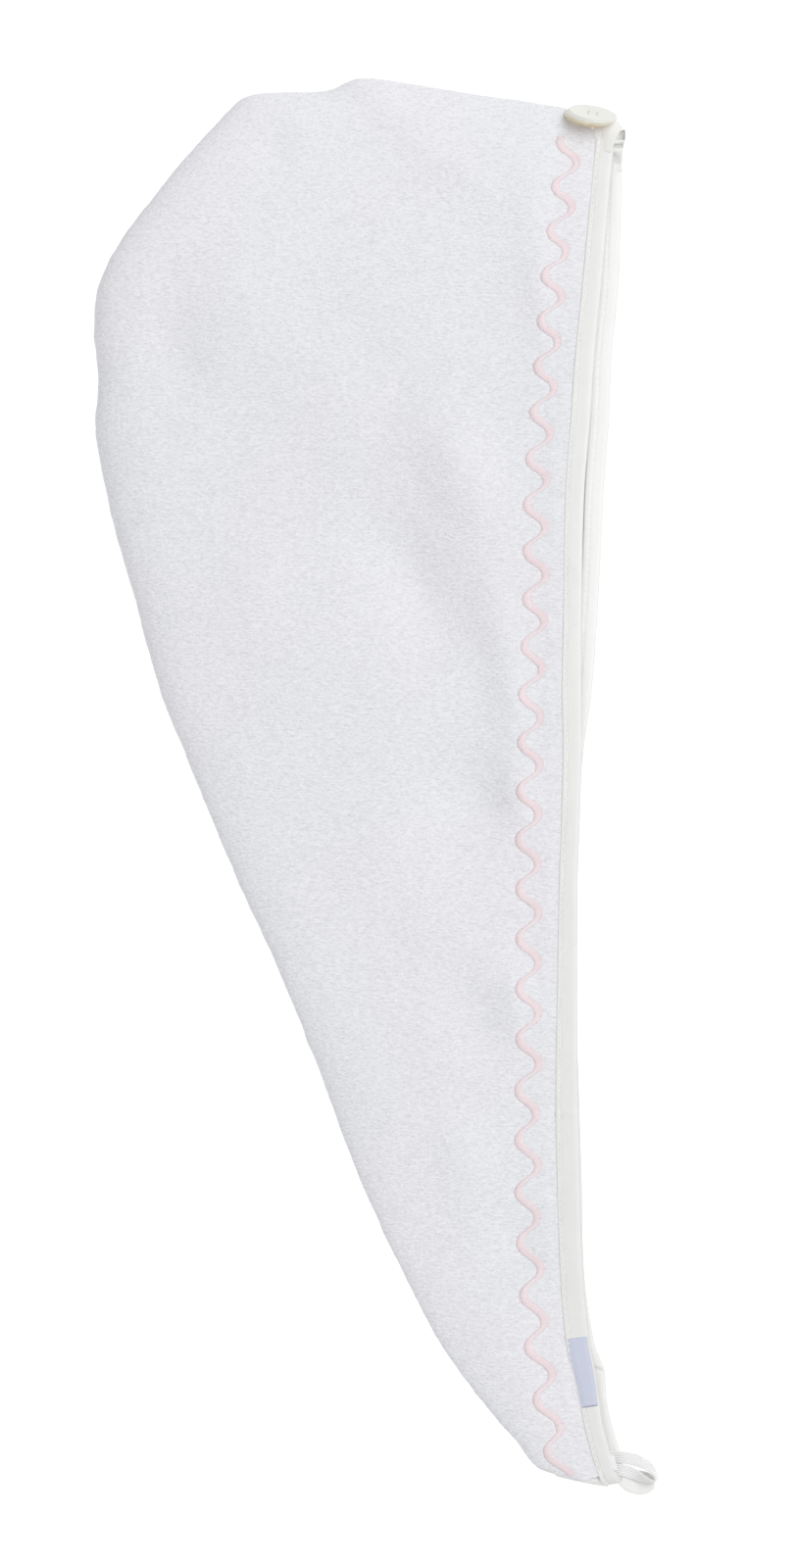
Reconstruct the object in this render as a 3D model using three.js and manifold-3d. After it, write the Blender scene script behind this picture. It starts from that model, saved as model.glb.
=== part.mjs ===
import * as THREE from 'three';
import Module from 'manifold-3d';

// A hair towel lying flat. X runs across the hood, Y from the tip of the tail to the top of
// the hood, and Z up from the surface it lies on. Lengths are millimetres, angles degrees.

// Hood outline and bulk
const hoodLength = 677;
const hoodWidth = 252.4;
const domeRise = 9.2;
const seamHeight = 9.2;
const frontRollWidth = 17;
const backRollWidth = 9;
const rollFullness = 2.2;

// Terry cloth
const terryThickness = 3;
const boundThickness = 2;
const terryStep = 2.2;
const clearance = 0.3;

// Binding tape round the opening
const bindingWidth = 10;
const bindingWall = 0.9;
const mouthGap = 5;

// Satin stitch wave
const waveInset = 21;
const waveSwing = 5.2;
const napeWavePitch = 21.06;
const tipWavePitch = 25.53;
const waveCount = 27.25;
const satinPen = 3.4;
const satinFinest = 1.6;
const satinAngle = 48;
const satinHeight = 0.8;

// Button
const buttonDiameter = 24.5;
const buttonRimHeight = 3;
const buttonRimWidth = 2.6;
const buttonDish = 0.7;
const buttonDome = 2;
const buttonHole = 2.2;
const buttonHoleSpacing = 4.2;
const buttonTilt = 69;
const buttonTurn = 10;
const shankLength = 1.3;
const shankLean = 4.2;
const shankDiameter = 1.8;
const threadDiameter = 1.2;

// Elastic loop, tape tab and label
const elasticWidth = 5;
const elasticThickness = 1.2;
const loopReach = 17.5;
const loopSpread = 5.4;
const tabThickness = 1;
const tabReach = 15;
const labelLength = 33;
const labelThickness = 0.6;
const labelDistance = 41;

// Heights that follow from the sizes above
const boundHalf = boundThickness / 2 + clearance + bindingWall;
const backEdgeLevel = boundHalf;
const frontEdgeLevel = 3 * boundHalf + mouthGap;
const frontEdgeTop = frontEdgeLevel + boundHalf;
const backEdgeTop = backEdgeLevel + boundHalf;

// Fold lines of the front and the back edge of the opening. along is a share of hoodLength,
// front and back are shares of hoodWidth.
const mouthRows = [
  { along: 0.014, front: 0.991, back: 1.006 },
  { along: 0.028, front: 0.979, back: 0.998 },
  { along: 0.049, front: 0.965, back: 0.981 },
  { along: 0.066, front: 0.958, back: 0.971 },
  { along: 0.085, front: 0.951, back: 0.964 },
  { along: 0.104, front: 0.941, back: 0.950 },
  { along: 0.153, front: 0.928, back: 0.931 },
  { along: 0.222, front: 0.922, back: 0.926 },
  { along: 0.292, front: 0.918, back: 0.920 },
  { along: 0.361, front: 0.917, back: 0.914 },
  { along: 0.431, front: 0.918, back: 0.914 },
  { along: 0.486, front: 0.923, back: 0.920 },
  { along: 0.528, front: 0.926, back: 0.929 },
  { along: 0.569, front: 0.925, back: 0.944 },
  { along: 0.639, front: 0.926, back: 0.957 },
  { along: 0.708, front: 0.931, back: 0.966 },
  { along: 0.758, front: 0.942, back: 0.976 },
  { along: 0.803, front: 0.950, back: 0.981 },
  { along: 0.854, front: 0.963, back: 0.994 },
  { along: 0.910, front: 0.976, back: 0.999 },
  { along: 0.955, front: 0.987, back: 1.002 },
];

// Sections from the opening to the outer seam, tip first. seamAcross and seamAlong place the
// seam, mouthAlong the point on the opening, and rise is the share of domeRise there.
const sectionRows = [
  { seamAcross: 0.914, seamAlong: 0.007, mouthAlong: 0.014, rise: 0.05 },
  { seamAcross: 0.875, seamAlong: 0.011, mouthAlong: 0.028, rise: 0.08 },
  { seamAcross: 0.838, seamAlong: 0.017, mouthAlong: 0.043, rise: 0.12 },
  { seamAcross: 0.801, seamAlong: 0.035, mouthAlong: 0.064, rise: 0.18 },
  { seamAcross: 0.745, seamAlong: 0.059, mouthAlong: 0.090, rise: 0.24 },
  { seamAcross: 0.663, seamAlong: 0.101, mouthAlong: 0.126, rise: 0.28 },
  { seamAcross: 0.588, seamAlong: 0.153, mouthAlong: 0.181, rise: 0.32 },
  { seamAcross: 0.503, seamAlong: 0.222, mouthAlong: 0.257, rise: 0.36 },
  { seamAcross: 0.432, seamAlong: 0.292, mouthAlong: 0.332, rise: 0.42 },
  { seamAcross: 0.359, seamAlong: 0.361, mouthAlong: 0.403, rise: 0.48 },
  { seamAcross: 0.274, seamAlong: 0.431, mouthAlong: 0.476, rise: 0.56 },
  { seamAcross: 0.196, seamAlong: 0.500, mouthAlong: 0.552, rise: 0.66 },
  { seamAcross: 0.123, seamAlong: 0.569, mouthAlong: 0.619, rise: 0.76 },
  { seamAcross: 0.071, seamAlong: 0.639, mouthAlong: 0.678, rise: 0.87 },
  { seamAcross: 0.030, seamAlong: 0.694, mouthAlong: 0.724, rise: 0.95 },
  { seamAcross: 0.004, seamAlong: 0.747, mouthAlong: 0.759, rise: 1.00 },
  { seamAcross: 0.007, seamAlong: 0.785, mouthAlong: 0.781, rise: 1.00 },
  { seamAcross: 0.000, seamAlong: 0.826, mouthAlong: 0.804, rise: 1.00 },
  { seamAcross: 0.020, seamAlong: 0.865, mouthAlong: 0.824, rise: 0.97 },
  { seamAcross: 0.114, seamAlong: 0.917, mouthAlong: 0.843, rise: 0.92 },
  { seamAcross: 0.235, seamAlong: 0.969, mouthAlong: 0.863, rise: 0.84 },
  { seamAcross: 0.298, seamAlong: 0.988, mouthAlong: 0.874, rise: 0.76 },
  { seamAcross: 0.436, seamAlong: 0.991, mouthAlong: 0.888, rise: 0.72 },
  { seamAcross: 0.505, seamAlong: 1.000, mouthAlong: 0.896, rise: 0.76 },
  { seamAcross: 0.603, seamAlong: 0.996, mouthAlong: 0.907, rise: 0.64 },
  { seamAcross: 0.734, seamAlong: 0.988, mouthAlong: 0.921, rise: 0.48 },
  { seamAcross: 0.815, seamAlong: 0.984, mouthAlong: 0.934, rise: 0.30 },
  { seamAcross: 0.860, seamAlong: 0.981, mouthAlong: 0.944, rise: 0.15 },
  { seamAcross: 0.886, seamAlong: 0.979, mouthAlong: 0.955, rise: 0.08 },
];

// Dents (and, with a negative depth, swells) in the front of the hood. Places are shares of
// hoodWidth and hoodLength, wide and tall of hoodWidth, and depth is a share of domeRise.
const dentRows = [
  { across: 0.60, along: 0.853, wide: 0.15, tall: 0.09, depth: 0.26 },
  { across: 0.62, along: 0.735, wide: 0.10, tall: 0.11, depth: 0.30 },
  { across: 0.69, along: 0.662, wide: 0.13, tall: 0.10, depth: 0.34 },
  { across: 0.74, along: 0.573, wide: 0.08, tall: 0.12, depth: 0.24 },
  { across: 0.75, along: 0.482, wide: 0.08, tall: 0.10, depth: 0.26 },
  { across: 0.74, along: 0.349, wide: 0.09, tall: 0.09, depth: 0.18 },
  { across: 0.68, along: 0.778, wide: 0.10, tall: 0.08, depth: -0.16 },
  { across: 0.57, along: 0.458, wide: 0.12, tall: 0.16, depth: -0.14 },
];

// Distance of the wave from the fold, across the hood, as shares of waveInset.
const waveRows = [
  { along: 0.014, inset: 1.24 },
  { along: 0.110, inset: 1.22 },
  { along: 0.200, inset: 1.22 },
  { along: 0.292, inset: 1.14 },
  { along: 0.361, inset: 1.06 },
  { along: 0.955, inset: 1.00 },
];

// Middle line of the elastic loop from its upper end round to its lower end: out is a share
// of loopReach, side of loopSpread, up of the height it leaves the opening at. lean is how
// far the band's face turns from lying flat to facing outward.
const loopRows = [
  { out: -0.65, side: 0.00, up: 1.00, lean: 0 },
  { out: -0.21, side: 0.00, up: 1.00, lean: 0 },
  { out: 0.11, side: 0.09, up: 1.00, lean: 4 },
  { out: 0.43, side: 0.38, up: 0.94, lean: 20 },
  { out: 0.70, side: 0.87, up: 0.78, lean: 48 },
  { out: 0.86, side: 1.46, up: 0.68, lean: 72 },
  { out: 0.87, side: 2.02, up: 0.66, lean: 80 },
  { out: 0.75, side: 2.28, up: 0.68, lean: 72 },
  { out: 0.51, side: 2.05, up: 0.84, lean: 46 },
  { out: 0.19, side: 1.52, up: 0.98, lean: 14 },
  { out: -0.11, side: 1.09, up: 1.00, lean: 4 },
  { out: -0.32, side: 1.00, up: 1.00, lean: 0 },
  { out: -0.65, side: 1.00, up: 1.00, lean: 0 },
];

// Middle line of the tape tab under the loop: out and side are shares of tabReach, up of the
// height it leaves the opening at, and broad of bindingWidth.
const tabRows = [
  { out: -0.75, side: -0.32, up: 1.00, broad: 0.80 },
  { out: -0.19, side: -0.32, up: 1.00, broad: 0.80 },
  { out: 0.08, side: -0.28, up: 1.00, broad: 0.82 },
  { out: 0.30, side: -0.04, up: 0.74, broad: 0.90 },
  { out: 0.54, side: 0.22, up: 0.30, broad: 1.00 },
  { out: 0.76, side: 0.35, up: 0.17, broad: 0.92 },
  { out: 0.91, side: 0.40, up: 0.15, broad: 0.70 },
  { out: 1.00, side: 0.42, up: 0.15, broad: 0.40 },
];

const up = new THREE.Vector3(0, 0, 1);
const radians = THREE.MathUtils.degToRad;

// Smooth value of one column of a table between its rows.
function columnAt(rows, key, column, at) {
  const last = rows.length - 1;
  let low = 0;
  while (low < last - 1 && at > rows[low + 1][key]) low += 1;
  const high = low + 1;
  const slope = (a, b) => (rows[b][column] - rows[a][column]) / (rows[b][key] - rows[a][key]);
  const span = rows[high][key] - rows[low][key];
  const share = THREE.MathUtils.clamp((at - rows[low][key]) / span, 0, 1);
  const lowSlope = slope(Math.max(low - 1, 0), high) * span;
  const highSlope = slope(low, Math.min(high + 1, last)) * span;
  const square = share * share;
  const cube = square * share;
  return rows[low][column] * (2 * cube - 3 * square + 1) + lowSlope * (cube - 2 * square + share)
    + rows[high][column] * (3 * square - 2 * cube) + highSlope * (cube - square);
}

const numbered = (rows) => rows.map((row, index) => ({ ...row, index }));
const sectionTable = numbered(sectionRows);
const loopTable = numbered(loopRows);
const tabTable = numbered(tabRows);

// Point on a fold line, its direction toward the nape and the direction into the cloth.
function foldFrame(side, along) {
  const place = (at) => new THREE.Vector3(
    columnAt(mouthRows, 'along', side, at) * hoodWidth, at * hoodLength, 0);
  const step = 0.004;
  const first = mouthRows[0].along;
  const last = mouthRows[mouthRows.length - 1].along;
  const ahead = place(Math.min(along + step, last));
  const behind = place(Math.max(along - step, first));
  const tangent = ahead.sub(behind).normalize();
  const inward = new THREE.Vector3(-tangent.y, tangent.x, 0);
  return { point: place(along), tangent, inward };
}

// Closed body through sections that each have an outer and an inner line of equal length.
function loft(sections, ring = false) {
  const loops = sections.map((section) => [...section.outer, ...[...section.inner].reverse()]);
  const size = loops[0].length;
  const positions = loops.flat().flatMap((point) => point.toArray());
  const faces = [];
  const rows = ring ? loops.length : loops.length - 1;
  for (let row = 0; row < rows; row += 1) {
    const here = row * size;
    const next = ((row + 1) % loops.length) * size;
    for (let i = 0; i < size; i += 1) {
      const j = (i + 1) % size;
      faces.push(here + i, here + j, next + i, here + j, next + j, next + i);
    }
  }
  const end = (loops.length - 1) * size;
  for (let i = 0; !ring && i < size / 2 - 1; i += 1) {
    const far = size - 1 - i;
    faces.push(i, far, i + 1, i + 1, far, far - 1);
    faces.push(end + i, end + i + 1, end + far, end + i + 1, end + far - 1, end + far);
  }
  const geometry = new THREE.BufferGeometry();
  geometry.setAttribute('position', new THREE.Float32BufferAttribute(positions, 3));
  geometry.setIndex(faces);
  return facingOut(geometry);
}

// Turns every face over where the body's faces point inward.
function facingOut(geometry) {
  const index = geometry.getIndex().array;
  const position = geometry.getAttribute('position');
  const corner = (i) => new THREE.Vector3().fromBufferAttribute(position, index[i]);
  let volume = 0;
  for (let i = 0; i < index.length; i += 3) {
    volume += corner(i).dot(corner(i + 1).cross(corner(i + 2)));
  }
  if (volume < 0) {
    for (let i = 0; i < index.length; i += 3) {
      const held = index[i];
      index[i] = index[i + 1];
      index[i + 1] = held;
    }
  }
  geometry.computeVertexNormals();
  return geometry;
}

function cloth(color, roughness) {
  return new THREE.MeshStandardMaterial({ color, roughness, metalness: 0 });
}

function piece(name, geometry, material) {
  const mesh = new THREE.Mesh(geometry, material);
  mesh.name = name;
  return mesh;
}

// Distances from the fold where the cloth leaves the binding and where it is full thick.
const bareStart = bindingWidth + clearance;
const fullStart = bareStart + terryStep;

// One section of the hood in plan, from a fold line to the outer seam.
function sectionPlan(side, index) {
  const value = (column) => columnAt(sectionTable, 'index', column, index);
  const fold = foldFrame(side, value('mouthAlong'));
  const seam = new THREE.Vector3(value('seamAcross') * hoodWidth, value('seamAlong') * hoodLength, 0);
  const toSeam = seam.sub(fold.point);
  const reach = toSeam.dot(fold.inward);
  const drift = toSeam.dot(fold.tangent);
  const place = (inset) => fold.point.clone()
    .addScaledVector(fold.inward, inset)
    .addScaledVector(fold.tangent, drift * (Math.max(inset - bareStart, 0) / (reach - bareStart)) ** 2);
  return { reach, rise: value('rise') * domeRise, place };
}

const rollWidthAt = (reach, widest) => Math.min(widest, 0.45 * (reach - fullStart));

// How far a rolled edge has risen at a distance from the seam, from 0 to 1.
function rollShare(distance, width) {
  const share = THREE.MathUtils.clamp(1 - distance / width, 0, 1);
  return (1 - share ** rollFullness) ** (1 / rollFullness);
}

function dentDepth(point) {
  return dentRows.reduce((sum, dent) => {
    const x = (point.x - dent.across * hoodWidth) / (dent.wide * hoodWidth);
    const y = (point.y - dent.along * hoodLength) / (dent.tall * hoodWidth);
    return sum + dent.depth * domeRise * Math.exp(-(x * x + y * y));
  }, 0);
}

// Distances from the fold at which a section has its corners.
function sectionInsets(reach, rollWidth, middles, rollStops) {
  const rollStart = reach - rollWidth;
  const insets = [bindingWall + 2 * clearance, bareStart, fullStart];
  for (let i = 1; i <= middles; i += 1) {
    insets.push(fullStart + (rollStart - fullStart) * (i / (middles + 1)) ** 1.7);
  }
  return insets.concat(rollStops.map((share) => reach - share * rollWidth));
}

function frontHeight(plan, rollWidth, inset) {
  const seamTop = seamHeight + clearance / 2;
  if (inset <= bareStart) return frontEdgeLevel + boundThickness / 2;
  const crestShare = THREE.MathUtils.smoothstep(inset, fullStart, fullStart + 0.5 * plan.reach);
  const swell = frontEdgeTop + plan.rise * crestShare;
  const dent = dentDepth(plan.place(inset)) * crestShare;
  return seamTop + (swell - dent - seamTop) * rollShare(plan.reach - inset, rollWidth);
}

function backHeight(plan, rollWidth, inset) {
  if (inset <= bareStart) return backEdgeLevel - boundThickness / 2;
  const seamTop = seamHeight - clearance / 2;
  return seamTop * (1 - rollShare(plan.reach - inset, rollWidth));
}

// Outer and inner lines of one section of a panel. outside is 1 where the outer face looks
// up and -1 where it looks down.
function panelSection(side, index, spec) {
  const plan = sectionPlan(side, index);
  const rollWidth = rollWidthAt(plan.reach, spec.rollWidth);
  const insets = sectionInsets(plan.reach, rollWidth, spec.middles, spec.rollStops);
  const heights = insets.map((inset) => spec.height(plan, rollWidth, inset));
  const outer = insets.map((inset, i) => plan.place(inset).setZ(heights[i]));
  const last = insets.length - 1;
  const inner = insets.map((inset, i) => {
    if (i === last) return plan.place(inset - terryThickness).setZ(heights[i]);
    const thickness = inset <= bareStart ? boundThickness : terryThickness;
    if (i < 3) return plan.place(inset).setZ(heights[i] - spec.outside * thickness);
    const run = insets[i + 1] - insets[i - 1];
    const climb = heights[i + 1] - heights[i - 1];
    const length = Math.hypot(run, climb);
    const shift = -spec.outside * climb / length * thickness;
    return plan.place(inset - shift).setZ(heights[i] - spec.outside * run / length * thickness);
  });
  return { outer, inner, insets };
}

const frontSpec = {
  outside: 1,
  rollWidth: frontRollWidth,
  middles: 5,
  rollStops: [1, 0.62, 0.32, 0.1, 0],
  height: frontHeight,
};
const backSpec = {
  outside: -1,
  rollWidth: backRollWidth,
  middles: 1,
  rollStops: [1, 0.45, 0.12, 0],
  height: backHeight,
};

const sectionSteps = 2 * (sectionRows.length - 1);

function panelSections(side, spec) {
  const sections = [];
  for (let step = 0; step <= sectionSteps; step += 1) sections.push(panelSection(side, step / 2, spec));
  return sections;
}

function frontPanel() {
  return piece('front_panel', loft(panelSections('front', frontSpec)), cloth(0xe8e9ec, 0.95));
}

function backPanel() {
  return piece('back_panel', loft(panelSections('back', backSpec)), cloth(0xe8e9ec, 0.95));
}

// Channel section of the binding: the tape folded over the cloth's edge. out is the
// direction away from the ring's middle.
function channelSection(point, inward, out) {
  const corner = bindingWall;
  const hollow = boundHalf - bindingWall;
  const at = (inset, height) => point.clone().addScaledVector(inward, inset).addScaledVector(out, height);
  const outer = [
    [bindingWidth, boundHalf], [corner, boundHalf], [0, boundHalf - corner],
    [0, corner - boundHalf], [corner, -boundHalf], [bindingWidth, -boundHalf],
  ];
  const inner = [
    [bindingWidth, hollow], [corner + clearance, hollow], [corner, hollow - clearance],
    [corner, clearance - hollow], [corner + clearance, -hollow], [bindingWidth, -hollow],
  ];
  const line = (corners) => corners.map(([inset, height]) => at(inset, height));
  return { outer: line(outer), inner: line(inner) };
}

const ringLevel = (frontEdgeLevel + backEdgeLevel) / 2;
const ringRadius = (frontEdgeLevel - backEdgeLevel) / 2;
const tipAlong = mouthRows[0].along;
const napeAlong = mouthRows[mouthRows.length - 1].along;

// Place on the turn where the tape passes from the front edge to the back edge. angle is 0
// on the front and 180 on the back, going over the nape, and 180 to 360 round the tip.
function turnFrame(along, angle) {
  const front = foldFrame('front', along);
  const back = foldFrame('back', along);
  const backShare = (1 - Math.cos(radians(angle))) / 2;
  const tangent = front.tangent.clone().lerp(back.tangent, 0.5).normalize();
  const inward = new THREE.Vector3(-tangent.y, tangent.x, 0);
  const out = up.clone().multiplyScalar(Math.cos(radians(angle)))
    .addScaledVector(tangent, Math.sin(radians(angle)));
  const middle = front.point.clone().lerp(back.point, backShare).setZ(ringLevel);
  return { point: middle.addScaledVector(out, ringRadius), inward, out };
}

function binding() {
  const sections = [];
  const edgeSteps = 34;
  const turnSteps = 7;
  const edge = (side, level, out, from, to) => {
    for (let step = 0; step <= edgeSteps; step += 1) {
      const frame = foldFrame(side, THREE.MathUtils.lerp(from, to, step / edgeSteps));
      sections.push(channelSection(frame.point.setZ(level), frame.inward, out));
    }
  };
  const turn = (along, start) => {
    for (let step = 1; step < turnSteps; step += 1) {
      const frame = turnFrame(along, start + 180 * step / turnSteps);
      sections.push(channelSection(frame.point, frame.inward, frame.out));
    }
  };
  edge('front', frontEdgeLevel, up, tipAlong, napeAlong);
  turn(napeAlong, 0);
  edge('back', backEdgeLevel, up.clone().negate(), napeAlong, tipAlong);
  turn(tipAlong, 180);
  return piece('edge_binding', loft(sections, true), cloth(0xf3f4f1, 0.8));
}

// Height of the front panel's outer face at a point in plan.
const front = frontPanel();
const plumb = new THREE.Raycaster();

function frontTop(point) {
  plumb.set(point.clone().setZ(hoodWidth), up.clone().negate());
  const [hit] = plumb.intersectObject(front);
  return hit ? hit.point.z : seamHeight;
}

// Phase of the wave, in whole waves from the nape, and the distance along the edge there.
const waveDistance = (waves) => napeWavePitch * waves
  + (tipWavePitch - napeWavePitch) * waves * waves / (2 * waveCount);

function wavePoint(waves) {
  const along = napeAlong - waveDistance(waves) / hoodLength;
  const fold = foldFrame('front', along);
  const inset = columnAt(waveRows, 'along', 'inset', along) * waveInset;
  const swing = waveSwing * Math.cos(2 * Math.PI * waves);
  return fold.point.setX(fold.point.x - inset - swing);
}

// The strip is broad where the wave crosses the slant of its stitches and fine along it.
function waveSection(waves) {
  const point = wavePoint(waves);
  const heading = wavePoint(waves + 0.01).sub(wavePoint(waves - 0.01)).normalize();
  const across = new THREE.Vector3().crossVectors(up, heading);
  const slant = new THREE.Vector3(Math.cos(radians(satinAngle)), Math.sin(radians(satinAngle)), 0);
  const half = (satinFinest + satinPen * Math.abs(across.dot(slant))) / 2;
  const edge = (share, height) => {
    const place = point.clone().addScaledVector(across, share * half);
    return place.setZ(frontTop(place) + 2 * clearance + height);
  };
  return { outer: [edge(-0.7, satinHeight), edge(0.7, satinHeight)], inner: [edge(-1, 0), edge(1, 0)] };
}

function wave() {
  const sections = [];
  const steps = 280;
  for (let step = 0; step <= steps; step += 1) sections.push(waveSection(waveCount * step / steps));
  return piece('wave_embroidery', loft(sections), cloth(0xf3dce1, 0.6));
}

function label() {
  const sections = [];
  const steps = 6;
  const margin = 2 * clearance;
  for (let step = 0; step <= steps; step += 1) {
    const along = (labelDistance + labelLength * step / steps) / hoodLength;
    const fold = foldFrame('front', along);
    const at = (inset, height) => fold.point.clone().addScaledVector(fold.inward, inset)
      .setZ(frontEdgeTop + clearance + height);
    sections.push({
      outer: [at(margin, labelThickness), at(bindingWidth - margin, labelThickness)],
      inner: [at(margin, 0), at(bindingWidth - margin, 0)],
    });
  }
  return piece('side_label', loft(sections), cloth(0xcdcfdf, 0.7));
}

// Where the loop and the tab leave the opening at the tip, and the ways out and sideways.
const outlet = foldFrame('back', tipAlong).point;
const outletOut = new THREE.Vector3(1, 0, 0);
const outletSide = new THREE.Vector3(0, -1, 0);
const tabLevel = backEdgeTop + clearance + tabThickness / 2;
const elasticLevel = tabLevel + tabThickness / 2 + clearance + elasticThickness / 2;
const firstLegRise = loopSpread + elasticWidth / 4;

function loopPoint(index) {
  const value = (column) => columnAt(loopTable, 'index', column, index);
  return outlet.clone()
    .addScaledVector(outletOut, value('out') * loopReach)
    .addScaledVector(outletSide, value('side') * loopSpread - firstLegRise)
    .setZ(value('up') * elasticLevel);
}

function loopSection(index) {
  const point = loopPoint(index);
  const ahead = loopPoint(Math.min(index + 0.05, loopRows.length - 1));
  const behind = loopPoint(Math.max(index - 0.05, 0));
  const tangent = ahead.sub(behind).normalize();
  const outward = new THREE.Vector3().crossVectors(up, tangent).normalize();
  const lean = radians(columnAt(loopTable, 'index', 'lean', index));
  const across = outward.clone().multiplyScalar(Math.cos(lean)).addScaledVector(up, -Math.sin(lean));
  const face = new THREE.Vector3().crossVectors(tangent, across).normalize();
  const at = (side, height) => point.clone()
    .addScaledVector(across, side * elasticWidth / 2)
    .addScaledVector(face, height * elasticThickness / 2);
  return { outer: [at(-1, 1), at(1, 1)], inner: [at(-1, -1), at(1, -1)] };
}

function elasticLoop() {
  const sections = [];
  const steps = 3 * (loopRows.length - 1);
  for (let step = 0; step <= steps; step += 1) sections.push(loopSection(step / 3));
  return piece('elastic_loop', loft(sections), cloth(0xe4e5e6, 0.75));
}

function tapeTab() {
  const place = (index) => {
    const value = (column) => columnAt(tabTable, 'index', column, index);
    return outlet.clone()
      .addScaledVector(outletOut, value('out') * tabReach)
      .addScaledVector(outletSide, value('side') * tabReach)
      .setZ(value('up') * tabLevel);
  };
  const sections = [];
  const steps = 2 * (tabRows.length - 1);
  for (let step = 0; step <= steps; step += 1) {
    const index = step / 2;
    const point = place(index);
    const ahead = place(Math.min(index + 0.05, tabRows.length - 1));
    const behind = place(Math.max(index - 0.05, 0));
    const tangent = ahead.sub(behind).normalize();
    const across = new THREE.Vector3().crossVectors(up, tangent).normalize();
    const face = new THREE.Vector3().crossVectors(tangent, across).normalize();
    const broad = columnAt(tabTable, 'index', 'broad', index) * bindingWidth;
    const at = (side, height) => point.clone()
      .addScaledVector(across, side * broad / 2)
      .addScaledVector(face, height * tabThickness / 2);
    sections.push({ outer: [at(-1, 1), at(1, 1)], inner: [at(-1, -1), at(1, -1)] });
  }
  return piece('tape_tab', loft(sections), cloth(0xf0f0ea, 0.8));
}

const wasm = await Module();
wasm.setup();

function toSolid(geometry) {
  const plain = geometry.index ? geometry.toNonIndexed() : geometry;
  const position = plain.getAttribute('position');
  const keys = new Map();
  const corners = [];
  const faces = [];
  for (let i = 0; i < position.count; i += 1) {
    const point = [position.getX(i), position.getY(i), position.getZ(i)];
    const key = point.map((value) => Math.round(value * 1e4)).join(' ');
    if (!keys.has(key)) {
      keys.set(key, keys.size);
      corners.push(...point);
    }
    faces.push(keys.get(key));
  }
  const kept = [];
  for (let i = 0; i < faces.length; i += 3) {
    const [a, b, c] = faces.slice(i, i + 3);
    if (a !== b && b !== c && c !== a) kept.push(a, b, c);
  }
  return new wasm.Manifold(new wasm.Mesh({
    numProp: 3, vertProperties: new Float32Array(corners), triVerts: new Uint32Array(kept),
  }));
}

function fromSolid(solid) {
  const mesh = solid.getMesh();
  const geometry = new THREE.BufferGeometry();
  geometry.setAttribute('position', new THREE.Float32BufferAttribute(mesh.vertProperties, 3));
  geometry.setIndex([...mesh.triVerts]);
  geometry.computeVertexNormals();
  return geometry;
}

// Rod between two points of the button's own space.
function rod(from, to, diameter, sides) {
  const along = to.clone().sub(from);
  const geometry = new THREE.CylinderGeometry(diameter / 2, diameter / 2, along.length(), sides);
  geometry.applyQuaternion(new THREE.Quaternion().setFromUnitVectors(
    new THREE.Vector3(0, 1, 0), along.clone().normalize()));
  const middle = from.clone().lerp(to, 0.5);
  geometry.translate(middle.x, middle.y, middle.z);
  return toSolid(geometry);
}

// The button's own space: Y is its axis, 0 at the back of the rim, and the face looks to +Y.
const holePlaces = [[1, 1], [-1, 1], [-1, -1], [1, -1]].map(([x, z]) => new THREE.Vector3(
  x * buttonHoleSpacing / 2, 0, z * buttonHoleSpacing / 2));

const atHeight = (place, height) => place.clone().setY(height);

function buttonBody() {
  const radius = buttonDiameter / 2;
  const face = buttonRimHeight - buttonDish;
  const ease = buttonRimWidth / 4;
  const profile = [
    [0, -buttonDome], [radius * 0.45, -buttonDome * 0.86], [radius * 0.78, -buttonDome * 0.42],
    [radius - ease, 0], [radius, ease], [radius, buttonRimHeight - ease],
    [radius - ease, buttonRimHeight], [radius - buttonRimWidth + ease, buttonRimHeight],
    [radius - buttonRimWidth, face], [0, face],
  ].map(([x, y]) => new THREE.Vector2(x, y));
  const sides = 36;
  let solid = toSolid(new THREE.LatheGeometry(profile, sides));
  if (solid.volume() < 0) throw new Error('button profile is inside out');
  holePlaces.forEach((place) => {
    const hole = rod(atHeight(place, -2 * buttonDome), atHeight(place, 2 * buttonRimHeight), buttonHole, 10);
    solid = solid.subtract(hole);
  });
  return fromSolid(solid);
}

const buttonAxis = new THREE.Vector3(
  Math.sin(radians(buttonTurn)) * Math.sin(radians(buttonTilt)),
  Math.cos(radians(buttonTurn)) * Math.sin(radians(buttonTilt)),
  Math.cos(radians(buttonTilt)));

// The shank's root on the nape's turn, and the button's seat, which leans over to the crown.
const shankTurn = 62;
const shankInset = 0.9 * bindingWidth;
const nape = turnFrame(napeAlong, shankTurn);
const shankRoot = nape.point.clone().addScaledVector(nape.inward, shankInset)
  .addScaledVector(nape.out, boundHalf + clearance + shankDiameter / 2);
const buttonSeat = shankRoot.clone().addScaledVector(buttonAxis, shankLength + buttonDome)
  .addScaledVector(nape.inward, shankLean);

function placeButton(mesh) {
  mesh.quaternion.setFromUnitVectors(new THREE.Vector3(0, 1, 0), buttonAxis);
  mesh.position.copy(buttonSeat);
  return mesh;
}

function button() {
  const resin = new THREE.MeshStandardMaterial({ color: 0xf3f1eb, roughness: 0.3, metalness: 0 });
  return placeButton(piece('button', buttonBody(), resin));
}

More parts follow.
